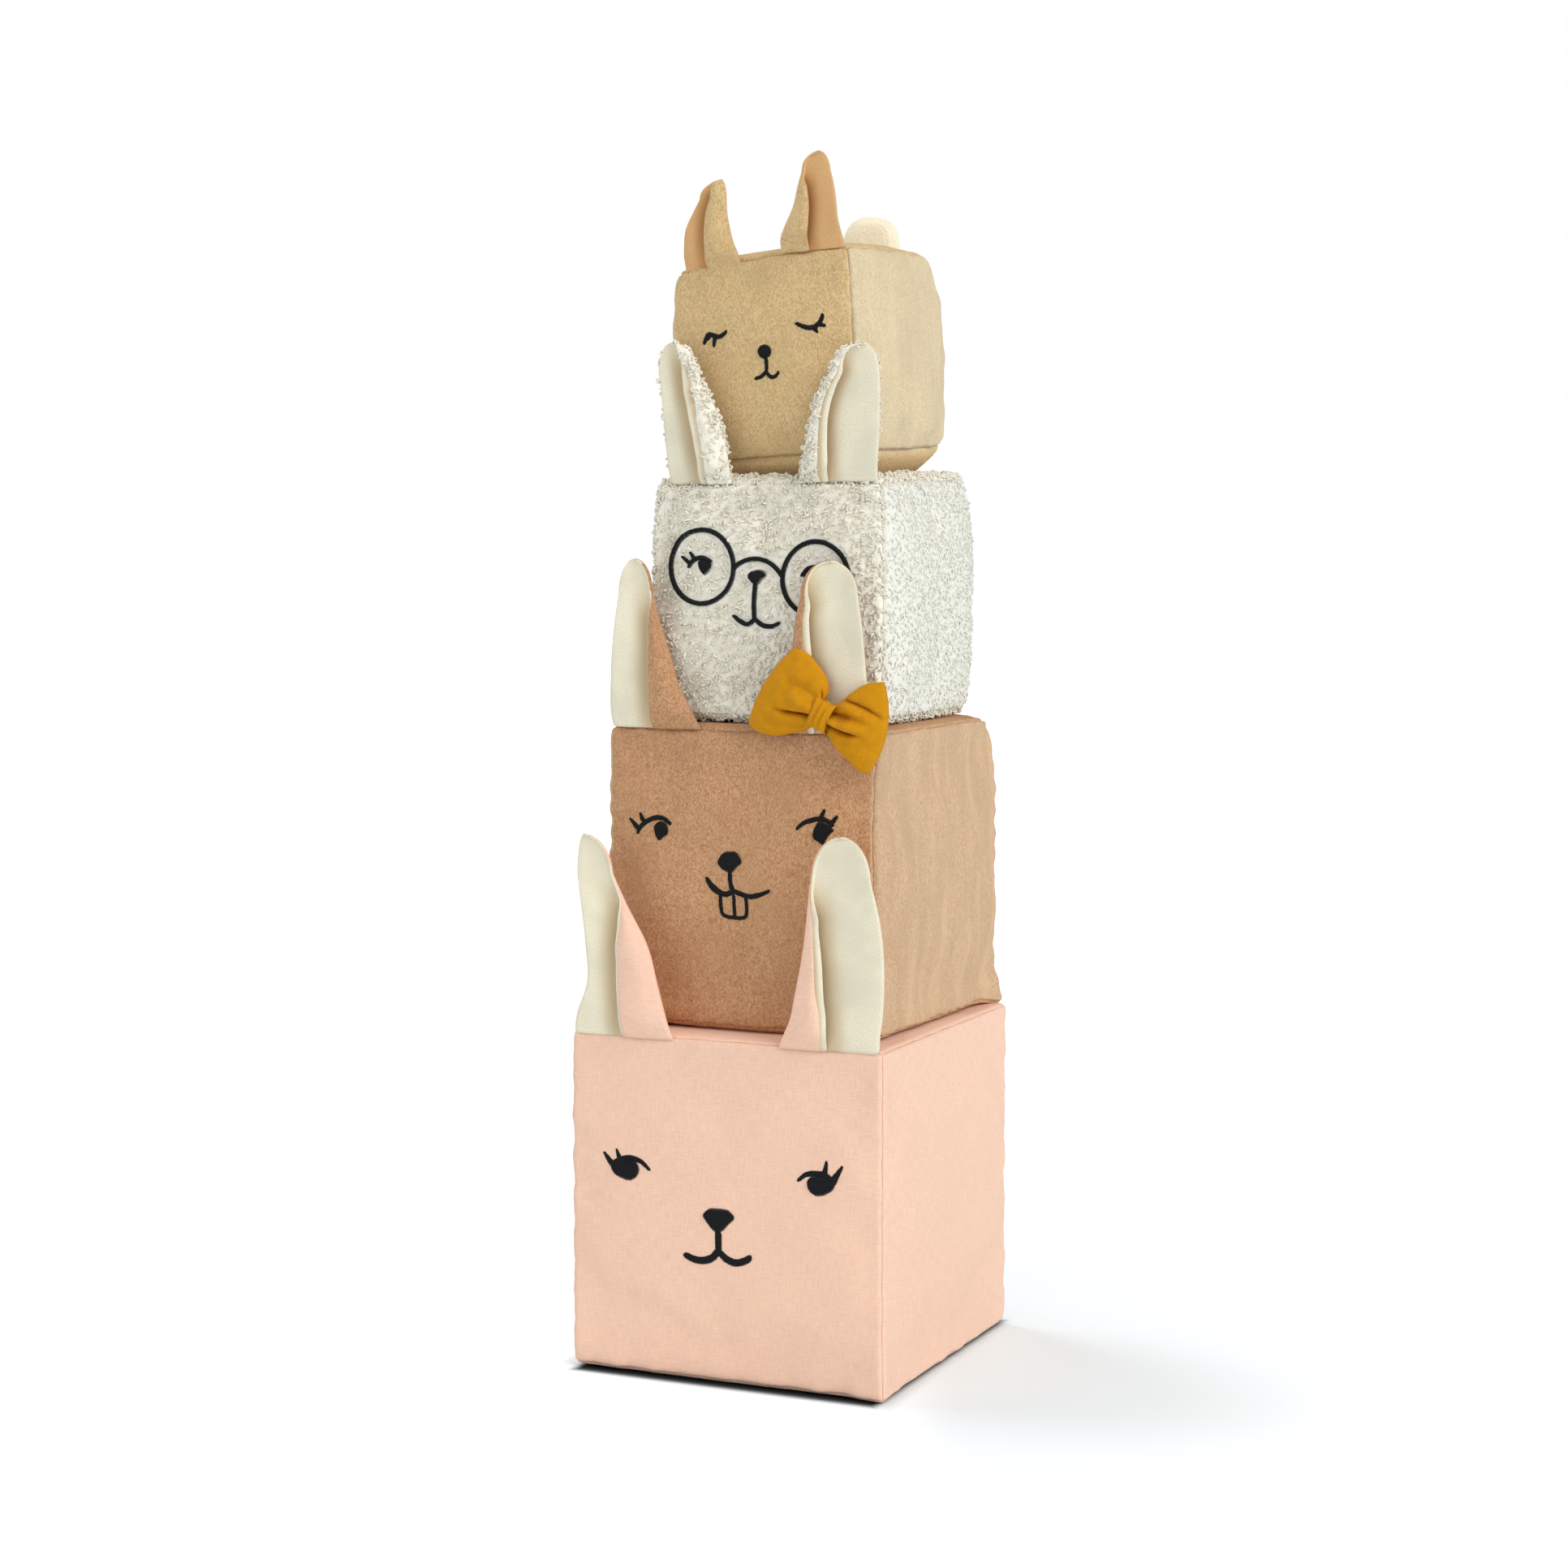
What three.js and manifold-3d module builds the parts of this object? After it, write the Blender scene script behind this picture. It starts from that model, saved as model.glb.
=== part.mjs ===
// A stack of four soft fabric blocks with embroidered animal faces and folded ears. The lowest is a foam
// block in woven cotton, the three above it are stuffed plush blocks, one ear wears a bow, and the top
// block has a tail. Millimetres, +Z up. The origin is the centre of the lowest block's base. The faces
// look along -Y, and +X is on the right of someone who looks at them.

import * as THREE from "three";
import { mergeVertices } from "three/addons/utils/BufferGeometryUtils.js";
import Module from "manifold-3d";

const wasm = await Module();
wasm.setup();

const degrees = Math.PI / 180;

// Clearance between pieces that touch on the real toy
const seamGap = 0.3;

// Embroidery stands this far out of the cloth
const threadThickness = 0.8;

// Ears: the block's fabric outside, a lining inside, both folded round the crease
const earOuterThickness = 1;
const earLiningThickness = 0.8;
const earFoldRadius = 1.8;
const earDepth = 2 * (earFoldRadius + seamGap / 2 + earOuterThickness);

// The blocks, from the lowest up, each after its embroidered face. A face is measured from the middle of
// the block's front, outwards and up. offset is the block's place over the lowest one, crown is how far
// each side of the block swells, and a top or bottom without crown lies flat. pullIn is how far the edges
// draw in between the corners.
const pinkFace = {
  shift: -1.5,
  turn: 1 * degrees,
  line: 3,
  eyes: { spread: 49.5, rise: 17.5, width: 25, irisWidth: 16, irisHeight: 10.5, glance: 0 },
  nose: { rise: -3, width: 15.8, height: 11 },
  mouth: { rise: -18.2, halfWidth: 17.7, sag: 6.3, endRise: -3.3 },
};
const pinkBlock = {
  name: "pink",
  cloth: "cotton",
  filling: "foam_core",
  width: 160,
  depth: 160,
  height: 162,
  edgeRadius: 3,
  coverThickness: 1.2,
  pullIn: 1,
  crown: { side: 1.5, top: 0, bottom: 0 },
  offset: { x: 0, y: 0 },
  turn: 0,
  lean: 0,
  tilt: 0,
  ears: {
    baseWidth: 50,
    leftHeight: 92.5,
    rightHeight: 96,
    forwardLean: 1 * degrees,
    left: {
      inset: 2.5,
      tip: 0.15,
      outline: [[0, 1.03, 0.5], [0.02, 0.975, 0.47], [0.11, 0.9, 0.41], [0.107, 0.8, 0.32], [0.08, 0.59, 0.06], [0.064, 0.45, 0.01]],
    },
    right: {
      inset: 2.8,
      tip: 0.34,
      outline: [[0, 0.984, 0.47], [-0.036, 0.87, 0.35], [-0.064, 0.8, 0.26], [-0.065, 0.72, 0.16], [-0.015, 0.67, 0.06], [0.06, 0.64, 0.01]],
    },
  },
  face: pinkFace,
  colours: { cover: 0xf0c3aa, lining: 0xe6dfcb, filling: 0xf2eee2 },
};

const brownFace = {
  shift: -1,
  turn: 0,
  line: 2,
  eyes: { spread: 44, rise: 24.5, width: 21.5, irisWidth: 7.6, irisHeight: 10, glance: 4.4 },
  nose: { rise: 8.5, width: 12.2, height: 10.5 },
  mouth: { rise: -4.5, halfWidth: 16.5, sag: 2, endRise: 3 },
  teeth: { halfWidth: 7.3, height: 12 },
};
const brownBlock = {
  name: "brown",
  cloth: "plush",
  filling: "fibre_filling",
  width: 142,
  depth: 142,
  height: 143,
  edgeRadius: 9,
  coverThickness: 2,
  pullIn: 0.8,
  crown: { side: 3.5, top: 0, bottom: 0 },
  offset: { x: 1.9, y: 10.1 },
  turn: -1 * degrees,
  lean: 0,
  tilt: 0,
  ears: {
    baseWidth: 42,
    leftHeight: 77,
    rightHeight: 77,
    forwardLean: 3 * degrees,
    left: {
      inset: 3.5,
      tip: 0.37,
      outline: [[0, 1.09, 0.57], [0, 1, 0.49], [0.014, 0.86, 0.35], [0.043, 0.756, 0.24], [0.093, 0.63, 0.1], [0.148, 0.57, 0.04]],
    },
    right: {
      inset: 5,
      tip: 0.45,
      outline: [[0.037, 1.04, 0.29], [0.044, 1.016, 0.25], [0.055, 0.976, 0.19], [0.076, 0.92, 0.1], [0.106, 0.863, 0.03], [0.142, 0.793, 0.01]],
    },
  },
  face: brownFace,
  bow: true,
  colours: { cover: 0xbe8e6b, lining: 0xe6dfcb, filling: 0xf2f0ec },
};

const whiteFace = {
  shift: 0,
  turn: -4.5 * degrees,
  line: 1.9,
  eyes: { spread: 28.5, rise: 15, width: 13.5, irisWidth: 5.2, irisHeight: 6.2, glance: 2.6 },
  nose: { rise: 11.5, width: 8.6, height: 6.5 },
  mouth: { rise: -6.2, halfWidth: 11.6, sag: 3.2, endRise: -0.6 },
  glasses: { ringWidth: 33, ringHeight: 34.5, bridgeRise: 5 },
};
const whiteBlock = {
  name: "white",
  cloth: "plush",
  filling: "fibre_filling",
  width: 119,
  depth: 119,
  height: 111.4,
  edgeRadius: 10,
  coverThickness: 3,
  pullIn: 0.5,
  crown: { side: 3, top: 0, bottom: 0 },
  offset: { x: 7.6, y: 7 },
  turn: 1 * degrees,
  lean: 0,
  tilt: 0,
  ears: {
    baseWidth: 35,
    leftHeight: 63,
    rightHeight: 60.5,
    forwardLean: 2 * degrees,
    left: {
      inset: 11.6,
      tip: 0.04,
      outline: [[0, 0.875, 0.41], [-0.014, 0.86, 0.42], [-0.042, 0.82, 0.43], [-0.072, 0.73, 0.41], [-0.1, 0.57, 0.32], [-0.13, 0.42, 0.19]],
    },
    right: {
      inset: 4.8,
      tip: 0.14,
      outline: [[-0.01, 1.056, 0.37], [-0.026, 1.03, 0.34], [-0.046, 0.967, 0.27], [-0.067, 0.884, 0.2], [-0.071, 0.77, 0.19], [-0.062, 0.59, 0.12]],
    },
  },
  face: whiteFace,
  colours: { cover: 0xe4dfd3, lining: 0xe6dfcb, filling: 0xf2f0ec },
};

const tanFace = {
  shift: 3,
  turn: 3 * degrees,
  line: 1.8,
  eyes: { spread: 24.7, rise: 9.5, width: 13.5, closed: true },
  nose: { rise: 0.5, width: 7.6, height: 7 },
  mouth: { rise: -8, halfWidth: 6.4, sag: 4.2, endRise: -2.6 },
};
const tanBlock = {
  name: "tan",
  cloth: "plush",
  filling: "fibre_filling",
  width: 98,
  depth: 98,
  height: 92,
  edgeRadius: 9,
  coverThickness: 2,
  pullIn: 1,
  crown: { side: 4, top: 3, bottom: 12.5 },
  offset: { x: 5.6, y: 5.9 },
  turn: -3.6 * degrees,
  lean: 2.6 * degrees,
  tilt: -2.5 * degrees,
  ears: {
    baseWidth: 31,
    leftHeight: 41,
    rightHeight: 46.5,
    forwardLean: 1 * degrees,
    left: {
      inset: 10.6,
      tip: 0.76,
      outline: [[0, 0.96, 0.55], [0.015, 0.94, 0.53], [0.04, 0.87, 0.45], [0.09, 0.82, 0.38], [0.234, 0.8, 0.31], [0.36, 0.81, 0.23]],
    },
    right: {
      inset: 3.9,
      tip: 0.28,
      outline: [[0, 1.02, 0.44], [0.002, 1.01, 0.44], [0.04, 0.908, 0.36], [0.055, 0.75, 0.23], [0.078, 0.657, 0.13], [0.118, 0.571, 0.04]],
    },
  },
  face: tanFace,
  tail: true,
  colours: { cover: 0xcfae82, lining: 0xc79a68, filling: 0xf2f0ec },
};

const blocks = [pinkBlock, brownBlock, whiteBlock, tanBlock];

const roughness = { cotton: 0.85, plush: 0.95 };
const threadColour = 0x191c1e;
const bowColour = 0xd7a00f;
const tailColour = 0xe9d9b4;

// How quickly the crown and the draw of the edges die away over a face
const edgePower = 4;

// How square the crown of a face is: the sides are round, and a crowned bottom is flat out to its edges
const sidePower = 2;
const bottomPower = 6;

// Grid lines of a face between its rounded edges, as a share of its flat width
const gridShare = 0.4;

function halfSizes(block, inset) {
  return [block.width, block.depth, block.height].map((size) => size / 2 - inset);
}

// The crown of the face that a point of the unit cube lies towards along one axis.
function crownOf(block, axis, share) {
  if (axis < 2) return block.crown.side;
  return share > 0 ? block.crown.top : block.crown.bottom;
}

// How far the padding moves a point of the block's surface along one axis.
function swell(block, unit, axis) {
  const crown = crownOf(block, axis, unit[axis]);
  if (crown === 0) return 0;
  const near = (share) => Math.abs(share) ** edgePower;
  const away = (share) => 1 - share * share;
  const [along, one, other] = [unit[axis], unit[(axis + 1) % 3], unit[(axis + 2) % 3]];
  const power = axis === 2 && along < 0 ? bottomPower : sidePower;
  const bulge = crown * (1 - Math.abs(one) ** power) * (1 - Math.abs(other) ** power);
  const draw = block.pullIn * (near(one) * away(other) + near(other) * away(one));
  return Math.sign(along) * near(along) * (bulge - draw);
}

// A point of the block's surface, from a point of the unit cube's: a box with rounded edges, crowned
// faces and edges that draw in. inset moves the whole surface inwards.
function surfacePoint(block, unit, inset = 0) {
  const half = halfSizes(block, inset);
  const radius = block.edgeRadius - inset;
  const outward = new THREE.Vector3();
  const point = new THREE.Vector3();
  unit.forEach((share, axis) => {
    const reach = half[axis] - radius;
    const onBox = share * half[axis];
    const onCore = THREE.MathUtils.clamp(onBox, -reach, reach);
    point.setComponent(axis, onCore);
    outward.setComponent(axis, onBox - onCore);
  });
  point.addScaledVector(outward.normalize(), radius);
  unit.forEach((share, axis) => {
    point.setComponent(axis, point.getComponent(axis) + swell(block, unit, axis));
  });
  return point;
}

// Places of a face's grid lines: its two edges, where the rounding starts, and two between.
function gridLines(half, radius, trim) {
  const edge = 1 - trim / half;
  const flat = 1 - radius / half;
  return [-edge, -flat, -flat * gridShare, flat * gridShare, flat, edge];
}

// A grid of points over one face of the block, trimmed back from its seams.
function faceGrid(block, axis, side, inset, trim) {
  const half = halfSizes(block, inset);
  const radius = block.edgeRadius - inset;
  const [across, along] = [(axis + 1) % 3, (axis + 2) % 3];
  return gridLines(half[along], radius, trim).map((v) =>
    gridLines(half[across], radius, trim).map((u) => {
      const unit = [0, 0, 0];
      unit[axis] = side;
      unit[across] = u;
      unit[along] = v;
      return surfacePoint(block, unit, inset);
    }),
  );
}

// A closed geometry from triangles of points, turned to face outwards.
function closedGeometry(points, triangles) {
  const volume = triangles.reduce((sum, [a, b, c]) => {
    const normal = new THREE.Vector3().crossVectors(points[b], points[c]);
    return sum + points[a].dot(normal);
  }, 0);
  const facing = volume < 0 ? triangles.map(([a, b, c]) => [a, c, b]) : triangles;
  const positions = points.flatMap((point) => point.toArray());
  const geometry = new THREE.BufferGeometry();
  geometry.setAttribute("position", new THREE.Float32BufferAttribute(positions, 3));
  geometry.setIndex(facing.flat());
  return geometry;
}

function quads(rows, columns, indexOf) {
  const triangles = [];
  for (let row = 0; row < rows - 1; row += 1) {
    for (let column = 0; column < columns - 1; column += 1) {
      const [a, b] = [indexOf(row, column), indexOf(row, column + 1)];
      const [c, d] = [indexOf(row + 1, column + 1), indexOf(row + 1, column)];
      triangles.push([a, b, c], [a, c, d]);
    }
  }
  return triangles;
}

// A plate of cloth between two grids of points, closed round its rim.
function plate(frontGrid, backGrid) {
  const rows = frontGrid.length;
  const columns = frontGrid[0].length;
  const points = [...frontGrid.flat(), ...backGrid.flat()];
  const front = (row, column) => row * columns + column;
  const back = (row, column) => rows * columns + front(row, column);
  const rim = [];
  for (let column = 0; column < columns; column += 1) rim.push([0, column]);
  for (let row = 1; row < rows; row += 1) rim.push([row, columns - 1]);
  for (let column = columns - 2; column >= 0; column -= 1) rim.push([rows - 1, column]);
  for (let row = rows - 2; row > 0; row -= 1) rim.push([row, 0]);
  const triangles = [
    ...quads(rows, columns, front),
    ...quads(rows, columns, back).map(([a, b, c]) => [a, c, b]),
  ];
  rim.forEach(([row, column], place) => {
    const [nextRow, nextColumn] = rim[(place + 1) % rim.length];
    const [a, b] = [front(row, column), front(nextRow, nextColumn)];
    const [c, d] = [back(nextRow, nextColumn), back(row, column)];
    triangles.push([b, a, d], [b, d, c]);
  });
  return closedGeometry(points, triangles);
}

function panelGeometry(block, axis, side) {
  return plate(
    faceGrid(block, axis, side, 0, seamGap),
    faceGrid(block, axis, side, block.coverThickness, seamGap),
  );
}

// The foam or fibre inside the six panels.
function fillingGeometry(block) {
  const inset = block.coverThickness + seamGap;
  const points = [];
  const triangles = [];
  [0, 1, 2].forEach((axis) => {
    [-1, 1].forEach((side) => {
      const grid = faceGrid(block, axis, side, inset, 0);
      const first = points.length;
      const columns = grid[0].length;
      points.push(...grid.flat());
      const face = quads(grid.length, columns, (row, column) => first + row * columns + column);
      triangles.push(...face.map(([a, b, c]) => (side > 0 ? [a, b, c] : [a, c, b])));
    });
  });
  return mergeVertices(closedGeometry(points, triangles));
}

// The rows of an ear, at shares of its height. A row of its outline gives the outer edge, the crease and
// the width of the part that folds forward, as shares of the base width. Above the last row the outer edge
// and the crease run together in a round tip, and share is how much of their distance from it is left.
const earHeights = [0, 0.1, 0.25, 0.45, 0.65, 0.8];
const earTipRows = [
  { up: 0.92, share: 0.8 },
  { up: 1, share: 0.35 },
];
const earLeastFlap = 0.3;

// A fold narrower than this has not turned over all the way
const earFullFlap = 4;

function earRows(ear) {
  const rows = ear.outline.map(([outer, crease, flap], index) => ({ up: earHeights[index], outer, crease, flap }));
  const last = rows[rows.length - 1];
  const toTip = (value, share) => THREE.MathUtils.lerp(ear.tip, value, share);
  earTipRows.forEach(({ up, share }) => {
    rows.push({ up, outer: toTip(last.outer, share), crease: toTip(last.crease, share), flap: last.flap * share });
  });
  return rows;
}

const earLeafSteps = 3;
const earFoldSteps = 3;
const earFlapSteps = 2;

// The middle line of the ear's cloth at one height, from the outer edge round the crease to the flap's
// edge, as points across and back with the way that the cloth's outside faces.
function earSection(base, row) {
  const radius = earFoldRadius;
  const centre = row.crease * base - radius;
  const start = row.outer * base;
  const flap = Math.max(row.flap * base, earLeastFlap);
  const turned = Math.PI * (0.25 + 0.75 * Math.min(flap / earFullFlap, 1));
  const section = [];
  for (let step = 0; step < earLeafSteps; step += 1) {
    const across = THREE.MathUtils.lerp(start, centre, step / earLeafSteps);
    section.push({ across, back: radius, facing: [0, 1] });
  }
  const around = (angle) => {
    const facing = [Math.sin(angle), Math.cos(angle)];
    return { across: centre + radius * facing[0], back: radius * facing[1], facing };
  };
  for (let step = 0; step <= earFoldSteps; step += 1) {
    section.push(around((turned * step) / earFoldSteps));
  }
  const crease = around(turned);
  for (let step = 1; step <= earFlapSteps; step += 1) {
    const run = (flap * step) / earFlapSteps;
    section.push({
      across: crease.across + run * crease.facing[1],
      back: crease.back - run * crease.facing[0],
      facing: crease.facing,
    });
  }
  return section;
}

// One layer of an ear between two distances from the middle line. x runs from the outer edge inwards for
// the left ear and the other way for the right one, y runs back from the ear's front, and z runs up from
// its base.
function earLayer(ears, ear, inward, near, far) {
  const height = inward > 0 ? ears.leftHeight : ears.rightHeight;
  const layer = (distance) =>
    earRows(ear).map((row) =>
      earSection(ears.baseWidth, row).map(({ across, back, facing }) => {
        const x = across + distance * facing[0];
        const y = earDepth / 2 + back + distance * facing[1];
        return new THREE.Vector3(inward * x, y, row.up * height);
      }),
    );
  return plate(layer(near), layer(far));
}

// The front of the block at a place across and up its face.
function frontOf(block, x, z) {
  const [halfWidth, halfDepth, halfHeight] = halfSizes(block, 0);
  return -halfDepth + swell(block, [x / halfWidth, -1, z / halfHeight], 1);
}

const ribbonSteps = 8;
const blobSteps = 14;

// A line of stitches along a smooth curve through the points, as wide as line at its start and end times
// as wide at its end.
function ribbon(points, line, end = 1, steps = ribbonSteps) {
  const curve = new THREE.SplineCurve(points.map(([x, z]) => new THREE.Vector2(x, z)));
  const sides = { left: [], right: [] };
  for (let step = 0; step <= steps; step += 1) {
    const t = step / steps;
    const point = curve.getPoint(t);
    const tangent = curve.getTangent(t);
    const across = new THREE.Vector2(-tangent.y, tangent.x);
    across.multiplyScalar((line / 2) * THREE.MathUtils.lerp(1, end, t));
    sides.left.push(point.clone().add(across));
    sides.right.unshift(point.clone().sub(across));
  }
  return new THREE.Shape([...sides.left, ...sides.right]);
}

// A round satin-stitched spot.
function blob(x, z, width, height) {
  const points = [];
  for (let step = 0; step < blobSteps; step += 1) {
    const angle = (2 * Math.PI * step) / blobSteps;
    points.push(new THREE.Vector2(x + (width / 2) * Math.cos(angle), z + (height / 2) * Math.sin(angle)));
  }
  return new THREE.Shape(points);
}

function toSolid(geometry) {
  const bare = new THREE.BufferGeometry();
  bare.setAttribute("position", geometry.getAttribute("position"));
  if (geometry.index) bare.setIndex(geometry.index);
  const merged = mergeVertices(bare);
  return new wasm.Manifold(
    new wasm.Mesh({
      numProp: 3,
      vertProperties: new Float32Array(merged.attributes.position.array),
      triVerts: new Uint32Array(merged.index.array),
    }),
  );
}

function fromSolid(solid) {
  const mesh = solid.getMesh();
  const geometry = new THREE.BufferGeometry();
  geometry.setAttribute("position", new THREE.Float32BufferAttribute(mesh.vertProperties, 3));
  geometry.setIndex([...mesh.triVerts]);
  return geometry;
}

// Stitches joined into one piece and laid on the block's face, turned and shifted with the whole face.
function embroidery(block, shapes) {
  const solids = shapes.map((shape) =>
    toSolid(new THREE.ExtrudeGeometry(shape, { depth: threadThickness, bevelEnabled: false })),
  );
  const geometry = fromSolid(solids.reduce((joined, next) => joined.add(next)));
  const { shift, turn } = block.face;
  const position = geometry.getAttribute("position");
  for (let place = 0; place < position.count; place += 1) {
    const [u, v, out] = [position.getX(place), position.getY(place), position.getZ(place)];
    const x = shift + u * Math.cos(turn) - v * Math.sin(turn);
    const z = u * Math.sin(turn) + v * Math.cos(turn);
    position.setXYZ(place, x, frontOf(block, x, z) - seamGap - out, z);
  }
  return geometry;
}

// Eyes as lines and spots. Places are shares of the eye's width, outwards from its middle and up.
const openEyeShares = {
  lid: [[-0.5, -0.02], [-0.22, 0.15], [0.1, 0.18], [0.34, 0.05]],
  longLash: [[0.3, 0.08], [0.52, 0.3]],
  shortLash: [[0.12, 0.14], [0.2, 0.38]],
  irisDrop: 0.03,
};
const closedEyeShares = {
  lid: [[-0.5, 0.08], [-0.2, -0.13], [0.16, -0.14], [0.44, 0.1]],
  longLash: [[0.36, -0.02], [0.54, 0.3]],
  shortLash: [[0.12, -0.12], [0.16, -0.34]],
};
const lashEndShare = 0.45;
const lashSteps = 2;

function eyeShapes(block, side) {
  const { eyes, line } = block.face;
  const shares = eyes.closed ? closedEyeShares : openEyeShares;
  const place = ([out, up]) => [side * (eyes.spread + out * eyes.width), eyes.rise + up * eyes.width];
  const lash = (points) => ribbon(points.map(place), line, lashEndShare, lashSteps);
  const shapes = [ribbon(shares.lid.map(place), line), lash(shares.longLash), lash(shares.shortLash)];
  if (!eyes.closed) {
    const irisRise = eyes.rise - openEyeShares.irisDrop * eyes.width;
    shapes.push(blob(side * eyes.spread + eyes.glance, irisRise, eyes.irisWidth, eyes.irisHeight));
  }
  return shapes;
}

// The two sides of the mouth, as shares of its half width, sag and end rise.
const mouthShares = [
  { out: 0, sag: 0, end: 0 },
  { out: 0.25, sag: 0.8, end: 0 },
  { out: 0.6, sag: 1, end: 0 },
  { out: 1, sag: 0, end: 1 },
];

function noseMouthShapes(block) {
  const { nose, mouth, teeth, line } = block.face;
  const side = (way) =>
    mouthShares.map(({ out, sag, end }) => [
      way * out * mouth.halfWidth,
      mouth.rise - sag * mouth.sag + end * mouth.endRise,
    ]);
  const shapes = [
    blob(0, nose.rise, nose.width, nose.height),
    ribbon([[0, nose.rise], [0, mouth.rise]], line, 1, 1),
    ribbon(side(-1), line),
    ribbon(side(1), line),
  ];
  if (teeth) {
    const low = mouth.rise - teeth.height;
    const high = mouth.rise - mouth.sag / 2;
    shapes.push(
      ribbon([[-teeth.halfWidth, high], [-teeth.halfWidth, low]], line, 1, 1),
      ribbon([[teeth.halfWidth, high], [teeth.halfWidth, low]], line, 1, 1),
      ribbon([[0, high], [0, low]], line, 1, 1),
      ribbon([[-teeth.halfWidth - line / 2, low], [teeth.halfWidth + line / 2, low]], line, 1, 1),
    );
  }
  return shapes;
}

const ringSteps = 24;

// Round glasses round the two eyes, joined by a bridge over the nose.
function glassesShapes(block) {
  const { eyes, glasses, line } = block.face;
  const ellipse = (x, width, height) => {
    const curve = new THREE.EllipseCurve(x, eyes.rise, width / 2, height / 2);
    return curve.getPoints(ringSteps).slice(0, -1);
  };
  const rings = [-1, 1].map((side) => {
    const x = side * eyes.spread;
    const ring = new THREE.Shape(ellipse(x, glasses.ringWidth + line, glasses.ringHeight + line));
    ring.holes.push(new THREE.Path(ellipse(x, glasses.ringWidth - line, glasses.ringHeight - line)));
    return ring;
  });
  const end = eyes.spread - glasses.ringWidth / 2;
  const bridge = [[-end, eyes.rise], [0, eyes.rise + glasses.bridgeRise], [end, eyes.rise]];
  return [...rings, ribbon(bridge, line)];
}

// The bow's place is measured from its ear's outer edge inwards and from the ear's base up. The wings
// turn up or down from level, and the knot lies between them.
const bow = {
  fromEarEdge: 24,
  up: 7.5,
  wingLength: 31,
  wingHalf: 20.5,
  waistHalf: 4,
  waistDepth: 3,
  depth: 9,
  leftTurn: 30 * degrees,
  rightTurn: 10 * degrees,
  knotHalf: 4.5,
  knotWall: 2,
  ringSteps: 5,
};
bow.knotTurn = (bow.leftTurn + bow.rightTurn) / 2;
bow.knotReach = bow.knotHalf + seamGap;

// How much of the wing's swell is reached at its outer end, and how soon the wing falls back on the ear
const wingSwellShare = 0.8;
const wingFallShare = 0.35;

// A column of the bow: far is the distance out along the wing, way is -1 for the left and 1 for the right.
function bowColumn(way, far) {
  const t = (far - bow.knotReach) / (bow.wingLength - bow.knotReach);
  const turn = far > bow.knotReach ? (way < 0 ? bow.leftTurn : bow.rightTurn) : bow.knotTurn;
  const run = far - bow.knotReach;
  const x = way * (bow.knotReach * Math.cos(bow.knotTurn) + run * Math.cos(turn));
  const z = -way * (bow.knotReach * Math.sin(bow.knotTurn) + run * Math.sin(turn));
  const half = THREE.MathUtils.lerp(bow.waistHalf, bow.wingHalf, Math.sin((t * Math.PI) / 2));
  const lift = (bow.knotWall + seamGap) * Math.max(0, 1 - t / wingFallShare);
  const swellOf = Math.sin(t * Math.PI * wingSwellShare) * (bow.depth - bow.waistDepth);
  return { x, z, half, turn, back: seamGap + lift, swell: swellOf };
}

const bowColumnShares = [0, 0.25, 0.5, 0.75, 1];
const bowRowShares = [-1, -0.5, 0, 0.5, 1];

function bowLoopsGeometry() {
  const wing = (way) =>
    bowColumnShares.map((t) => bowColumn(way, THREE.MathUtils.lerp(bow.knotReach, bow.wingLength, t)));
  const columns = [...wing(-1).reverse(), ...wing(1)];
  const grid = (front) =>
    bowRowShares.map((row) =>
      columns.map((column) => {
        const thickness = bow.waistDepth + column.swell * (1 - row * row);
        const x = column.x + row * column.half * Math.sin(column.turn);
        const z = column.z + row * column.half * Math.cos(column.turn);
        return new THREE.Vector3(x, -column.back - (front ? thickness : 0), z);
      }),
    );
  return plate(grid(true), grid(false));
}

// The knot is a band round the waist.
function bowKnotGeometry() {
  const inside = { high: bow.waistHalf + seamGap, deep: bow.waistDepth + 2 * seamGap };
  const back = seamGap;
  const rectangle = (Kind, grow) => {
    const [high, low] = [inside.high + grow, -inside.high - grow];
    const [near, far] = [back + bow.knotWall - grow, back + bow.knotWall + inside.deep + grow];
    const corners = [[low, near], [high, near], [high, far], [low, far]];
    return new Kind(corners.map(([x, y]) => new THREE.Vector2(x, y)));
  };
  const band = rectangle(THREE.Shape, bow.knotWall);
  band.holes.push(rectangle(THREE.Path, 0));
  const options = { depth: 2 * bow.knotHalf, steps: bow.ringSteps, bevelEnabled: false };
  const geometry = new THREE.ExtrudeGeometry(band, options).translate(0, 0, -bow.knotHalf);
  const across = new THREE.Vector3(Math.sin(bow.knotTurn), 0, Math.cos(bow.knotTurn));
  const front = new THREE.Vector3(0, -1, 0);
  const along = new THREE.Vector3().crossVectors(across, front);
  return geometry.applyMatrix4(new THREE.Matrix4().makeBasis(across, front, along));
}

// The tail is a stuffed oval tab on the back, its middle just above the seam.
const tail = { width: 31, height: 46, depth: 13, fromMiddle: 6, overSeam: 4.5, aroundSteps: 14, upSteps: 8 };

function tailGeometry() {
  const geometry = new THREE.SphereGeometry(1, tail.aroundSteps, tail.upSteps);
  return geometry.rotateX(Math.PI / 2).scale(tail.width / 2, tail.depth / 2, tail.height / 2);
}

function material(colour, roughness) {
  return new THREE.MeshStandardMaterial({ color: colour, roughness, metalness: 0 });
}

function addMesh(group, name, geometry, finish) {
  const mesh = new THREE.Mesh(geometry, finish);
  mesh.name = name;
  group.add(mesh);
  return mesh;
}

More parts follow.
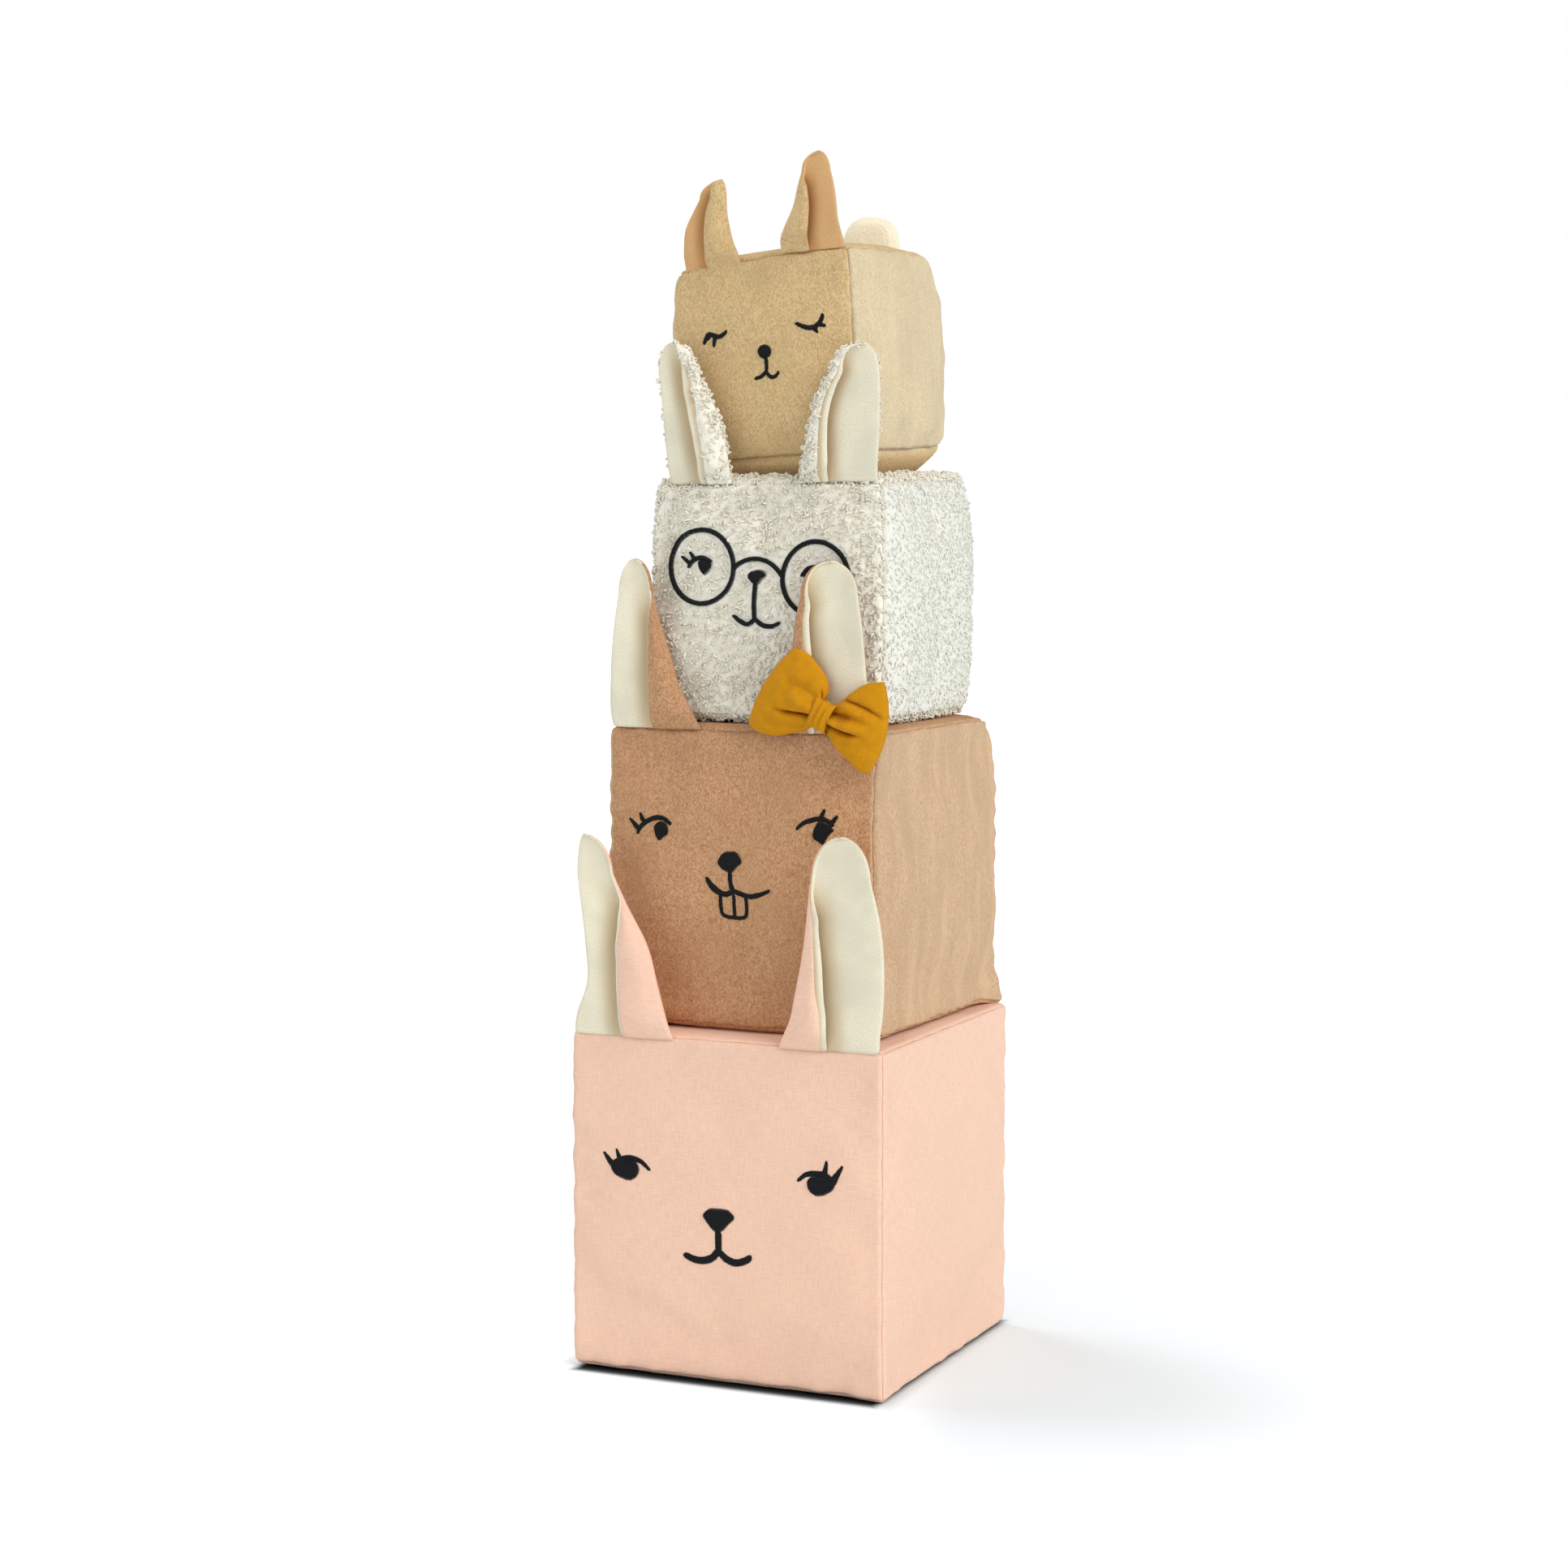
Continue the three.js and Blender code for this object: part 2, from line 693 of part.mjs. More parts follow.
const panels = [
  { name: "right", axis: 0, side: 1 },
  { name: "left", axis: 0, side: -1 },
  { name: "back", axis: 1, side: 1 },
  { name: "front", axis: 1, side: -1 },
  { name: "top", axis: 2, side: 1 },
  { name: "bottom", axis: 2, side: -1 },
];

function addPanels(group, block, cover) {
  const stuffing = material(block.colours.filling, roughness.plush);
  addMesh(group, `${block.name}_${block.filling}`, fillingGeometry(block), stuffing);
  panels.forEach(({ name, axis, side }) => {
    addMesh(group, `${block.name}_${name}_panel`, panelGeometry(block, axis, side), cover);
  });
}

function addFace(group, block) {
  const thread = material(threadColour, roughness.cotton);
  addMesh(group, `${block.name}_left_eye`, embroidery(block, eyeShapes(block, -1)), thread);
  addMesh(group, `${block.name}_right_eye`, embroidery(block, eyeShapes(block, 1)), thread);
  addMesh(group, `${block.name}_nose_mouth`, embroidery(block, noseMouthShapes(block)), thread);
  if (block.face.glasses) {
    addMesh(group, `${block.name}_glasses`, embroidery(block, glassesShapes(block)), thread);
  }
}

function addBow(earGroup, block) {
  const cotton = material(bowColour, roughness.cotton);
  const loops = addMesh(earGroup, `${block.name}_bow_loops`, bowLoopsGeometry(), cotton);
  const knot = addMesh(earGroup, `${block.name}_bow_knot`, bowKnotGeometry(), cotton);
  [loops, knot].forEach((piece) => piece.position.set(-bow.fromEarEdge, 0, bow.up));
}

// Each ear hangs in a group whose origin lies on its fold line, at the front of its base, over the seam
// between the front and the top.
function addEar(group, block, sideName, cover, lining) {
  const { ears } = block;
  const ear = ears[sideName];
  const inward = sideName === "left" ? 1 : -1;
  const halfWidth = block.width / 2;
  const straight = halfWidth - block.edgeRadius;
  const edge = inward * (ear.inset - halfWidth);
  const seam = surfacePoint(block, [THREE.MathUtils.clamp(edge, -straight, straight) / halfWidth, -1, 1]);
  const earGroup = new THREE.Group();
  earGroup.name = `${block.name}_${sideName}_ear`;
  earGroup.position.set(edge, seam.y - earDepth, seam.z + seamGap);
  earGroup.rotation.x = ears.forwardLean;
  const outerFar = seamGap / 2 + earOuterThickness;
  const liningFar = -seamGap / 2 - earLiningThickness;
  const outer = earLayer(ears, ear, inward, seamGap / 2, outerFar);
  const inner = earLayer(ears, ear, inward, -seamGap / 2, liningFar);
  addMesh(earGroup, `${earGroup.name}_outer`, outer, cover);
  addMesh(earGroup, `${earGroup.name}_lining`, inner, lining);
  if (block.bow && sideName === "right") addBow(earGroup, block);
  group.add(earGroup);
}

function addTail(group, block) {
  const plush = material(tailColour, roughness.plush);
  const mesh = addMesh(group, `${block.name}_tail`, tailGeometry(), plush);
  const seam = surfacePoint(block, [tail.fromMiddle / (block.width / 2), 1, 1]);
  const [, halfDepth] = halfSizes(block, 0);
  mesh.position.set(tail.fromMiddle, halfDepth + seamGap + tail.depth / 2, seam.z + tail.overSeam);
}

function buildBlock(block) {
  const group = new THREE.Group();
  group.name = `${block.name}_block`;
  const cover = material(block.colours.cover, roughness[block.cloth]);
  const lining = material(block.colours.lining, roughness.cotton);
  addPanels(group, block, cover);
  addFace(group, block);
  addEar(group, block, "left", cover, lining);
  addEar(group, block, "right", cover, lining);
  if (block.tail) addTail(group, block);
  group.rotation.set(block.lean, block.tilt, block.turn, "ZXY");
  return group;
}

// The lowest point of a turned block's cover, below its own centre.
function lowestPoint(block, group) {
  group.updateMatrixWorld(true);
  const cover = group.children.filter((child) => child.name.endsWith("_panel"));
  return Math.min(...cover.map((panel) => new THREE.Box3().setFromObject(panel, true).min.z));
}

const stack = new THREE.Group();
let carrier = 0;
blocks.forEach((block, place) => {
  const group = buildBlock(block);
  const low = lowestPoint(block, group);
  group.position.set(block.offset.x, block.offset.y, carrier - low + (place > 0 ? seamGap : 0));
  carrier = group.position.z + block.height / 2;
  stack.add(group);
});

export default stack;
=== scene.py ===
"""Looks of a stack of four soft fabric blocks, built round the packed frame.

The lowest block is foam in woven cotton. The three above it are stuffed plush and terry blocks. Each has
an embroidered face and two folded ears, one ear wears a bow, and the top block has a tail.
"""

import math

import bmesh
import bpy
import numpy as np
from mathutils import Matrix, Vector
from mathutils.bvhtree import BVHTree
from mathutils.kdtree import KDTree


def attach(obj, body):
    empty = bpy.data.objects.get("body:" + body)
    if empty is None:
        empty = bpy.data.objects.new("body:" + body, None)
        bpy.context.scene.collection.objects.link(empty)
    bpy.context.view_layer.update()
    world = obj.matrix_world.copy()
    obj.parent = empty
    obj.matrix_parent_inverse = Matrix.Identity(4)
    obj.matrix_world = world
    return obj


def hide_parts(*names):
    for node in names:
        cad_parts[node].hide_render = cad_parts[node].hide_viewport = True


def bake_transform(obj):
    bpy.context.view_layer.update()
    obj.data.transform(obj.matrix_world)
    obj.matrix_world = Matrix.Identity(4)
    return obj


bl_info = {
    "name": "Stack of soft blocks",
    "version": (1, 0, 0),
    "blender": (4, 5, 0),
    "location": "3D View > Sidebar > Soft blocks",
    "description": "Four stuffed fabric blocks with embroidered faces, folded ears, a bow and a tail",
    "category": "Add Mesh",
}

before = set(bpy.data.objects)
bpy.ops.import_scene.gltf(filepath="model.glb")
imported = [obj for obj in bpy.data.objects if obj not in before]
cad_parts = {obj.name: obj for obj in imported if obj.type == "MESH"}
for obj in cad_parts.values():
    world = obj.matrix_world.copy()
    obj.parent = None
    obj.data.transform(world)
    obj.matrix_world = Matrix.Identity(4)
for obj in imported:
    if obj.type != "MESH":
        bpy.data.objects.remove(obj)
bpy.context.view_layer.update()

# Sizes in the tables are millimetres and degrees unless they say otherwise
MM = 0.001

# Clearance between pieces that touch
SEAM_GAP = 0.3

# A length too short to divide by
TINY = 1e-9

# The blocks from the lowest up, each turned about its Z, X and Y. The crown is how far the sides, the top
# and the bottom swell, and the edges are pulled in between. A raised top or bottom rises from so far across,
# over a reach, by a height. A lifted corner takes its part of the block up with it, and a drawn upright edge
# moves across and back between its ends. Soft corners are pushed in, or out where the amount is below zero.
# The lines of the mesh crowd towards the seams. A groove is a depth and a width, a lip a height, and a
# pucker a height, a reach from the seam and a wavelength. The padding presses the cloth out by no more than
# the cap. Slots are the cover's, the ear lining's and the filling's. Colours are the cover's, that of the
# left and right sides, where the nap leans sideways and side light and sheen are painted in, and the
# lining's.
# Rows of an ear, at EAR_HEIGHTS, give its outer edge, its crease and the width of the flap that folds
# forward, as shares of its base width. Its tip is a share of the same width. The lining shows past the
# folded edge by the rim, and that edge stands open by so much more than the fold itself.
BLOCKS = {
    "pink": {
        "size": (160, 160, 162),
        "centre": (0, 0, 81),
        "turned": (0, 0, 0),
        "radius": 3,
        "cover": 1.2,
        "pull_in": 0.2,
        "crown": (1.5, 0, 0),
        "raised": {-1: (70, 10, 1.1)},
        "soft_corners": {(1, 1, 1): -0.5, (-1, 1, 1): 1.5, (-1, -1, 1): 0.5, (1, -1, -1): -2},
        "pile": 0,
        "sewn_over": 0,
        "crowding": 1.4,
        "groove": (0.7, 1.3),
        "lip": 0.15,
        "pucker": (0.5, 6, 9),
        "lumps": 0.35,
        "press": 0.8,
        "cap": 1.2,
        "slots": ("pink_cotton", "cream_lining", "cut_foam"),
        "core": "foam_core",
        "colours": (0xF7CCB3, 0xF3CBB3, 0xF2E8CE),
        "ears": {
            "base": 50,
            "lean": 1,
            "open": 1.6,
            "left": {
                "inset": 2.5,
                "rim": 1.2,
                "height": 92.5,
                "tip": 0.15,
                "rows": ((0, 1.03, 0.5), (0.06, 0.975, 0.47), (0.165, 0.9, 0.41), (0.155, 0.8, 0.32),
                         (0.115, 0.59, 0.06), (0.08, 0.45, 0.01)),
            },
            "right": {
                "inset": 2.8,
                "rim": 3,
                "height": 96,
                "tip": 0.34,
                "rows": ((0, 0.984, 0.47), (-0.036, 0.87, 0.35), (-0.064, 0.8, 0.26), (-0.065, 0.72, 0.16),
                         (-0.015, 0.67, 0.06), (0.06, 0.64, 0.01)),
            },
        },
    },
    "brown": {
        "size": (142, 142, 143),
        "centre": (1.9, 10.1, 233.8),
        "turned": (-1, 0, 0),
        "radius": 7,
        "cover": 2,
        "pull_in": -1.2,
        "crown": (3.5, 0, 0),
        "drawn": {(1, -1): (-4.4, 0.5)},
        "soft_corners": {(1, 1, 1): 5, (-1, 1, 1): 4, (-1, -1, 1): -1.5, (1, 1, -1): -9, (1, -1, -1): -2},
        "pile": 0.2,
        "sewn_over": 0,
        "crowding": 1.4,
        "groove": (0.8, 1.2),
        "lip": 0.2,
        "pucker": (0.9, 9, 12),
        "lumps": 0.9,
        "press": 4,
        "cap": 2.5,
        "slots": ("brown_plush", "cream_lining", "polyester_fibre"),
        "core": "fibre_filling",
        "colours": (0xC59168, 0xD2AF8B, 0xF2E8CE),
        "ears": {
            "base": 42,
            "lean": 3,
            "open": 1.4,
            "left": {
                "inset": 3.5,
                "rim": 0.3,
                "height": 77,
                "tip": 0.37,
                "rows": ((0, 1.09, 0.57), (0, 1, 0.49), (0.014, 0.86, 0.35), (0.043, 0.756, 0.24),
                         (0.093, 0.63, 0.1), (0.148, 0.57, 0.04)),
            },
            "right": {
                "inset": 5,
                "rim": 3.2,
                "height": 77,
                "tip": 0.45,
                "rows": ((0.037, 1.04, 0.33), (0.044, 1.016, 0.31), (0.055, 0.976, 0.27),
                         (0.076, 0.93, 0.21), (0.106, 0.88, 0.14), (0.142, 0.81, 0.07)),
            },
        },
    },
    "white": {
        "size": (119, 119, 111.4),
        "centre": (7.6, 7, 361.3),
        "turned": (1, 0, 0),
        "radius": 7,
        "cover": 2,
        "pull_in": -1.4,
        "crown": (2.5, 0, 0),
        "raised": {1: (44, 7, 2.2)},
        "lifted": {(1, 1, 1): 3.5, (1, -1, 1): 0.5},
        "soft_corners": {(1, 1, 1): 3, (-1, 1, 1): 3, (-1, -1, 1): 1, (1, 1, -1): 2, (-1, -1, -1): 1.5},
        "pile": 0.4,
        "sewn_over": 1.2,
        "crowding": 1.3,
        "groove": (1.4, 1.8),
        "lip": 0,
        "pucker": (0.5, 8, 12),
        "lumps": 0.8,
        "press": 4,
        "cap": 2.5,
        "slots": ("white_terry", "cream_lining", "polyester_fibre"),
        "core": "fibre_filling",
        "colours": (0xF8F3E5, 0xECEADF, 0xF2E8CE),
        "ears": {
            "base": 35,
            "lean": 2,
            "open": 3.4,
            "left": {
                "inset": 11.6,
                "rim": 3.6,
                "height": 63,
                "tip": 0.04,
                "rows": ((0, 0.875, 0.41), (-0.014, 0.86, 0.42), (-0.042, 0.82, 0.43), (-0.072, 0.73, 0.41),
                         (-0.1, 0.57, 0.32), (-0.13, 0.42, 0.19)),
            },
            "right": {
                "inset": 4.8,
                "rim": 3.6,
                "height": 60.5,
                "tip": 0.14,
                "rows": ((-0.01, 1.056, 0.37), (-0.026, 1.03, 0.34), (-0.046, 0.967, 0.27),
                         (-0.067, 0.884, 0.2), (-0.071, 0.77, 0.19), (-0.062, 0.59, 0.12)),
            },
        },
    },
    "tan": {
        "size": (98, 98, 92),
        "centre": (5.6, 5.9, 474.525),
        "turned": (-3.6, 2.6, -2.5),
        "radius": 7,
        "cover": 2,
        "pull_in": -0.4,
        "crown": (3.5, 2.5, 12.5),
        "soft_corners": {(1, 1, 1): 3.8, (-1, 1, 1): 4.5, (-1, -1, 1): 3.5, (1, 1, -1): 2.5,
                         (-1, -1, -1): 2},
        "corner_reach": 17,
        "lifted": {(1, -1, 1): 5.5, (-1, -1, 1): 1.5, (1, 1, 1): 3, (-1, 1, 1): 3},
        "pile": 0.2,
        "sewn_over": 0,
        "crowding": 1.4,
        "groove": (1, 0.9),
        "lip": 0.25,
        "pucker": (0.7, 8, 11),
        "lumps": 0.9,
        "press": 4,
        "cap": 2.5,
        "slots": ("tan_plush", "tan_lining", "polyester_fibre"),
        "core": "fibre_filling",
        "colours": (0xD8B680, 0xDDC8A4, 0xE0AF77),
        "ears": {
            "base": 31,
            "lean": 1,
            "open": 1.6,
            "left": {
                "inset": 10.6,
                "rim": 0.4,
                "height": 38.5,
                "tip": 0.76,
                "rows": ((0, 0.96, 0.55), (0.015, 0.94, 0.53), (0.04, 0.87, 0.45), (0.09, 0.82, 0.38),
                         (0.234, 0.8, 0.31), (0.36, 0.81, 0.23)),
            },
            "right": {
                "inset": 3.9,
                "rim": 0.4,
                "height": 42,
                "tip": 0.28,
                "rows": ((0, 1.02, 0.44), (0.002, 1.01, 0.44), (0.04, 0.908, 0.36), (0.055, 0.75, 0.23),
                         (0.078, 0.657, 0.13), (0.118, 0.571, 0.04)),
            },
        },
    },
}

THREAD = 0x121416
MUSTARD = 0xCC8A00
TAIL = 0xFFF5DA

# Embroidery, in places across and up from the middle of the block's front. A line is followed by its
# widths along the way, and a spot is filled to its outline with stitches at an angle.
FACES = {
    "pink": {
        "left_eye": [
            ("spot", 80, ((-57.2, 17.6), (-54, 20.4), (-48.1, 21.7), (-43.6, 20.3), (-42.5, 17.1),
                          (-44, 13.4), (-47.6, 11.4), (-52.1, 12.3), (-56, 14.4))),
            ("line", (1.6, 2.6, 2.4, 1.3), ((-57.4, 18.6), (-52.1, 21.2), (-46.2, 22.2),
                                            (-41.3, 20.8), (-37, 17.3))),
            ("line", (3.8, 0.9), ((-56, 17.8), (-61.2, 23.8))),
            ("line", (3.2, 0.8), ((-52, 20), (-54.5, 25.8))),
        ],
        "right_eye": [
            ("spot", 100, ((44.5, 21.2), (49.4, 22.6), (53.5, 21.8), (56, 19.4), (56.3, 17.3),
                           (54.3, 14.9), (50.9, 13), (47.3, 12.6), (44.3, 14.5), (43, 17.5),
                           (43.2, 19.7))),
            ("line", (1.2, 2.4, 2.6, 1.8), ((38.3, 19), (42.4, 22.1), (46.8, 22.9), (52.5, 22.3),
                                            (56.3, 19.6))),
            ("line", (3.2, 0.8), ((51.5, 22), (52.6, 29))),
            ("line", (4.2, 0.9), ((55.2, 19), (60.4, 27.3))),
        ],
        "nose_mouth": [
            ("spot", 90, ((-8.9, -0.8), (-6.6, 1.9), (-1.3, 2.8), (4, 2), (6.6, -0.9), (3.6, -4.8),
                          (0, -8.2), (-3, -8.4), (-6.4, -5.4))),
            ("line", (3.6, 3.2), ((-1.3, -7.6), (-1.3, -17.6))),
            ("line", (3.2, 3.6, 3.4, 3), ((-1.3, -17), (-4.5, -20.7), (-10.3, -22.6), (-15.4, -21.9),
                                          (-18.8, -20.2))),
            ("line", (3.2, 3.6, 3.4, 3), ((-1.3, -17), (2.5, -20.5), (7.2, -22), (11.9, -20.7),
                                          (15.4, -18.6))),
        ],
    },
    "brown": {
        "left_eye": [
            ("spot", 75, ((-43.5, 23.5), (-40.6, 25.8), (-38.2, 25.3), (-36.6, 22.8), (-36.7, 20),
                          (-38.9, 18.1), (-41, 16.6), (-42.6, 18.1), (-43.5, 20.6))),
            ("line", (1.4, 2.2, 2.2, 1.6), ((-52.7, 19.7), (-50.6, 23.2), (-47, 25.8), (-42.8, 27.3),
                                            (-39.2, 27.1), (-35.3, 24.4))),
            ("line", (3, 0.9), ((-51.9, 21.6), (-57, 26.4))),
            ("line", (2.8, 0.9), ((-49.3, 25), (-51.4, 29.2))),
        ],
        "right_eye": [
            ("spot", 105, ((40.9, 29.1), (43.8, 28.7), (46.4, 27.2), (48.2, 25), (46.6, 23.2),
                           (45.1, 21), (43.3, 18.1), (41.2, 19.4), (38.9, 21.2), (38.6, 24.2),
                           (39.6, 26.9))),
            ("line", (1.2, 2, 2.2, 1.6), ((30.2, 25.1), (33.4, 27.8), (37, 29.2), (41.4, 30.1),
                                          (45.4, 29.3), (48, 27))),
            ("line", (2.8, 0.9), ((41.9, 29.6), (43.9, 34.4))),
            ("line", (2.8, 0.9), ((46.6, 27.4), (49.9, 31.6))),
        ],
        "nose_mouth": [
            ("spot", 90, ((-8.5, 10.9), (-7.2, 12.5), (-4, 13.4), (0.2, 13), (1.7, 11.2), (2.7, 8.6),
                          (0.1, 6), (-2.4, 3.6), (-5.2, 3.9), (-8.2, 5.7), (-9.6, 8))),
            ("line", (2, 2, 2.8), ((-3.3, 4.2), (-3.1, -0.9), (-2, -4.9))),
            ("line", (1.4, 3.2, 2.6, 2.2), ((-15.6, 0.9), (-12.7, -3.1), (-8.9, -5.9), (-6.1, -6.7),
                                            (-2, -5.2))),
            ("line", (2.2, 2.2, 2.2, 1.2), ((-2, -4.8), (1.9, -6), (5.7, -7), (10.1, -6.5),
                                            (16.8, -4))),
            ("line", (1.6, 1.6), ((-8.4, -7), (-8.4, -13.1), (-7.6, -16.2), (-4.8, -17.3),
                                  (-1.6, -17.4), (1.6, -17.5), (4.2, -16.4), (5, -13), (4.7, -7.4))),
            ("line", (1.5, 1.5), ((-1.6, -6.5), (-1.7, -17.2))),
        ],
    },
    "white": {
        "left_eye": [
            ("spot", 75, ((-30.6, 19.6), (-26.5, 20), (-24.6, 17.7), (-26, 14.5), (-28.5, 12.7),
                          (-30.8, 14.9), (-31.2, 17.7))),
            ("line", (1.4, 1.9, 1.9, 1.3), ((-36.6, 16.4), (-33.9, 19.8), (-29.1, 20.6),
                                            (-25.1, 18.7))),
            ("line", (1.8, 0.8), ((-36, 18), (-40, 21.2))),
            ("line", (1.7, 0.8), ((-33.3, 19.8), (-35.8, 23.2))),
        ],
        "right_eye": [
            ("spot", 105, ((22, 14.8), (26, 16), (28.4, 13.9), (27.4, 11), (24.8, 9), (22.4, 10.4),
                           (21.4, 12.8))),
            ("line", (1.2, 1.9, 1.9, 1.4), ((19.8, 12.7), (22.8, 15.8), (27.4, 16.5), (31.4, 14.5),
                                            (33, 11.8))),
            ("line", (1.8, 0.8), ((32.4, 13), (36.2, 16.8))),
            ("line", (1.7, 0.8), ((29.9, 15.2), (31.8, 19))),
        ],
        "nose_mouth": [
            ("spot", 90, ((-6, 13.5), (-2.3, 15.2), (1.6, 14.6), (2.7, 13), (0.4, 10.5), (-1.6, 8.5),
                          (-4.2, 9), (-6.1, 11.7))),
            ("line", (1.9, 1.9), ((-2.8, 9.5), (-3.5, 0.6), (-3.3, -7.6))),
            ("line", (1.2, 1.9, 1.9, 1.8), ((-13.9, -5.8), (-10.8, -8.2), (-6.8, -9.8), (-3.2, -7.4))),
            ("line", (1.8, 1.9, 1.9, 1.2), ((-3.2, -7.2), (0.6, -10), (5.3, -10.6), (9.8, -8.8))),
        ],
        "glasses": [
            ("ring", (2, 2), (-30.4, 16.5, 16.4, 17)),
            ("ring", (2, 2), (26.8, 11.3, 16.3, 16.9)),
            ("line", (1.9, 1.9), ((-14.2, 15.7), (-10.8, 18.3), (-6, 20), (-1.6, 20.2), (4.2, 18.3),
                                  (8, 15.2), (10.6, 11.8))),
        ],
    },
    "tan": {
        "left_eye": [
            ("line", (1.7, 2.2, 2.1, 1.5), ((-28, 10), (-24.9, 14.1), (-22.2, 13.2), (-19.1, 12.6),
                                            (-14.9, 14.8))),
            ("line", (2.4, 1), ((-24.4, 13.4), (-26.6, 11.6))),
            ("line", (2.4, 1.2), ((-21.5, 12.8), (-22.6, 8.4))),
        ],
        "right_eye": [
            ("line", (1.3, 2, 2.2, 1.6), ((20.8, 15.9), (24.2, 14.2), (27.7, 13.2), (30.8, 13.9),
                                          (33.4, 16.6), (34.2, 19))),
            ("line", (2.4, 1), ((29.4, 13.6), (31.3, 10.8))),
            ("line", (2.4, 1), ((32, 14.8), (35, 13.4))),
        ],
        "nose_mouth": [
            ("spot", 90, ((1, 4.2), (2, 6.6), (4.5, 7.4), (7, 6.4), (7.8, 4), (6.8, 1.7), (4.4, 0.7),
                          (2, 1.7))),
            ("line", (1.7, 1.7), ((4.7, 1.4), (5, -2), (4.6, -5.8))),
            ("line", (1.6, 1.7, 1.1), ((4.6, -5.2), (2.1, -7), (-1.4, -7.9))),
            ("line", (1.6, 1.7, 1.1), ((4.6, -5.2), (6.9, -7.5), (9, -7.7), (11.4, -5.6))),
        ],
    },
}

PANELS = {
    "left": (0, -1),
    "right": (0, 1),
    "front": (1, -1),
    "back": (1, 1),
    "bottom": (2, -1),
    "top": (2, 1),
}

# Grid squares along an edge of a panel before it is subdivided once, and the frames that the padding
# presses for
PANEL_STEPS = 32
PRESS_FRAMES = 20

# How quickly the crown and the draw of the edges die away over a face
EDGE_POWER = 4

# How square the crown of a side is, and that of a crowned top or bottom
SIDE_POWER = 2.6
TOP_POWER = 2.5
BOTTOM_POWER = 6

# How quickly a raised top or bottom ends on the sides, and a drawn edge across the faces and at its ends
RAISED_POWER = 8
DRAWN_ACROSS = 3
DRAWN_UP = 4

# How far a soft corner reaches over the faces, and how much of the push goes each way
CORNER_REACH = 13
CORNER_WAYS = (1, 1, 0.7)

# How far the raised lips lie from the seams, and their width
SEAM_LIP = (2.3, 1.1)

# Where the cloth counts as the flat top or bottom, on the unit cube, and how much of the lumps it has
FLAT_PART = 0.999
FLAT_SHARE = 0.25

# The padding shrinks the cloth this close to the seams and holds the flat top and bottom further in. The
# seams keep a share of its push, which is whole from some way in.
SHRINK_WIDTH = 2
HOLD_ROOM = 10
SEAM_MOVE = 0.2
FREE_AT = 16

# Puckers run a little along the seams as they run in, those of one seam are unlike the next one's, and they
# stop short of the corners, which are pinched
SEAMS_APART = 97.0
PUCKER_SLANT = 0.15
CORNER_CALM = 12
PINCH_ALONG = 5
PINCH_IN = 8

# The wavelength of the lumps and the room they leave at the seams
LUMP_LENGTH = 42
LUMP_ROOM = 12

# Where the bend of an ear would start, this far up from its seam, and how long it would be; nothing bends
# the ears
BEND_START = 0.5
BEND_LENGTH = 9

# How far round the camera of the photograph stands
CAMERA_YAW = 24.37


def srgb(code):
    """A colour written as 0xRRGGBB, as linear red, green and blue."""
    shares = [(code >> shift & 255) / 255 for shift in (16, 8, 0)]
    return tuple(s / 12.92 if s <= 0.04045 else ((s + 0.055) / 1.055) ** 2.4 for s in shares)


def length(label, text, value):
    """A setting in metres, from millimetres."""
    return bpy.props.FloatProperty(name=label, description=text, default=value * MM, min=0, unit="LENGTH")


def colour(label, text, code):
    """A setting for a colour, from 0xRRGGBB."""
    return bpy.props.FloatVectorProperty(
        name=label, description=text, default=srgb(code), min=0, max=1, subtype="COLOR"
    )


def block_settings(name):
    """The settings class of one block, with the block's own sizes and colours as defaults."""
    table = BLOCKS[name]
    width, depth, height = table["size"]
    cover, side_lit, lining = table["colours"]
    rows = {
        "width": length("Width", "Distance between the left and right faces", width),
        "depth": length("Depth", "Distance between the front and the back", depth),
        "height": length("Height", "Distance between the bottom and the top", height),
        "thickness": length("Cloth", "Thickness of the cover's cloth", table["cover"]),
        "left_ear": length("Left ear", "Height of the left ear", table["ears"]["left"]["height"]),
        "right_ear": length("Right ear", "Height of the right ear", table["ears"]["right"]["height"]),
        "cover_colour": colour("Cover", "Colour of the cover", cover),
        # The sides' colour is painted side light and sheen, where the nap leans sideways
        "brushed_colour": colour("Brushed", "Colour of the cover where its nap leans sideways", side_lit),
        "lining_colour": colour("Ear lining", "Colour of the cloth inside the ears", lining),
    }
    words = {"__annotations__": rows, "__doc__": "Sizes and colours of the %s block." % name}
    return type(name.title() + "BlockSettings", (bpy.types.PropertyGroup,), words)


BLOCK_SETTINGS = {name: block_settings(name) for name in BLOCKS}


class TrimSettings(bpy.types.PropertyGroup):
    """Colours and sizes of the embroidery, the bow and the tail."""

    thread_colour: colour("Thread", "Colour of the embroidery thread", THREAD)
    bow_colour: colour("Bow", "Colour of the bow", MUSTARD)
    tail_colour: colour("Tail", "Colour of the tail", TAIL)
    thread_width: length("Thread width", "Width of one strand of embroidery thread", 0.5)
    tail_width: length("Tail width", "Width of the tail", 31)
    tail_height: length("Tail height", "Height of the tail", 46)
    tail_depth: length("Tail depth", "Thickness of the stuffed tail", 13)


def trim():
    """The settings of the embroidery, the bow and the tail."""
    return bpy.context.scene.soft_trim


def settings_of(name):
    """The settings of a block."""
    return getattr(bpy.context.scene, name + "_block")


# Shader nodes

WHITE = (1, 1, 1, 1)

# The map of a cloth laid flat, and the attributes of a place on the unit cube and of the shade painted
# in the fold of an ear
CLOTH_MAP = "cloth"
UNIT = "unit"
PAINTED_FOLD_SHADE = "hollow"

# The colour sockets of a Mix node share their names with others, so they go by number
FIRST_COLOUR = 6
SECOND_COLOUR = 7
MIXED_COLOUR = 2
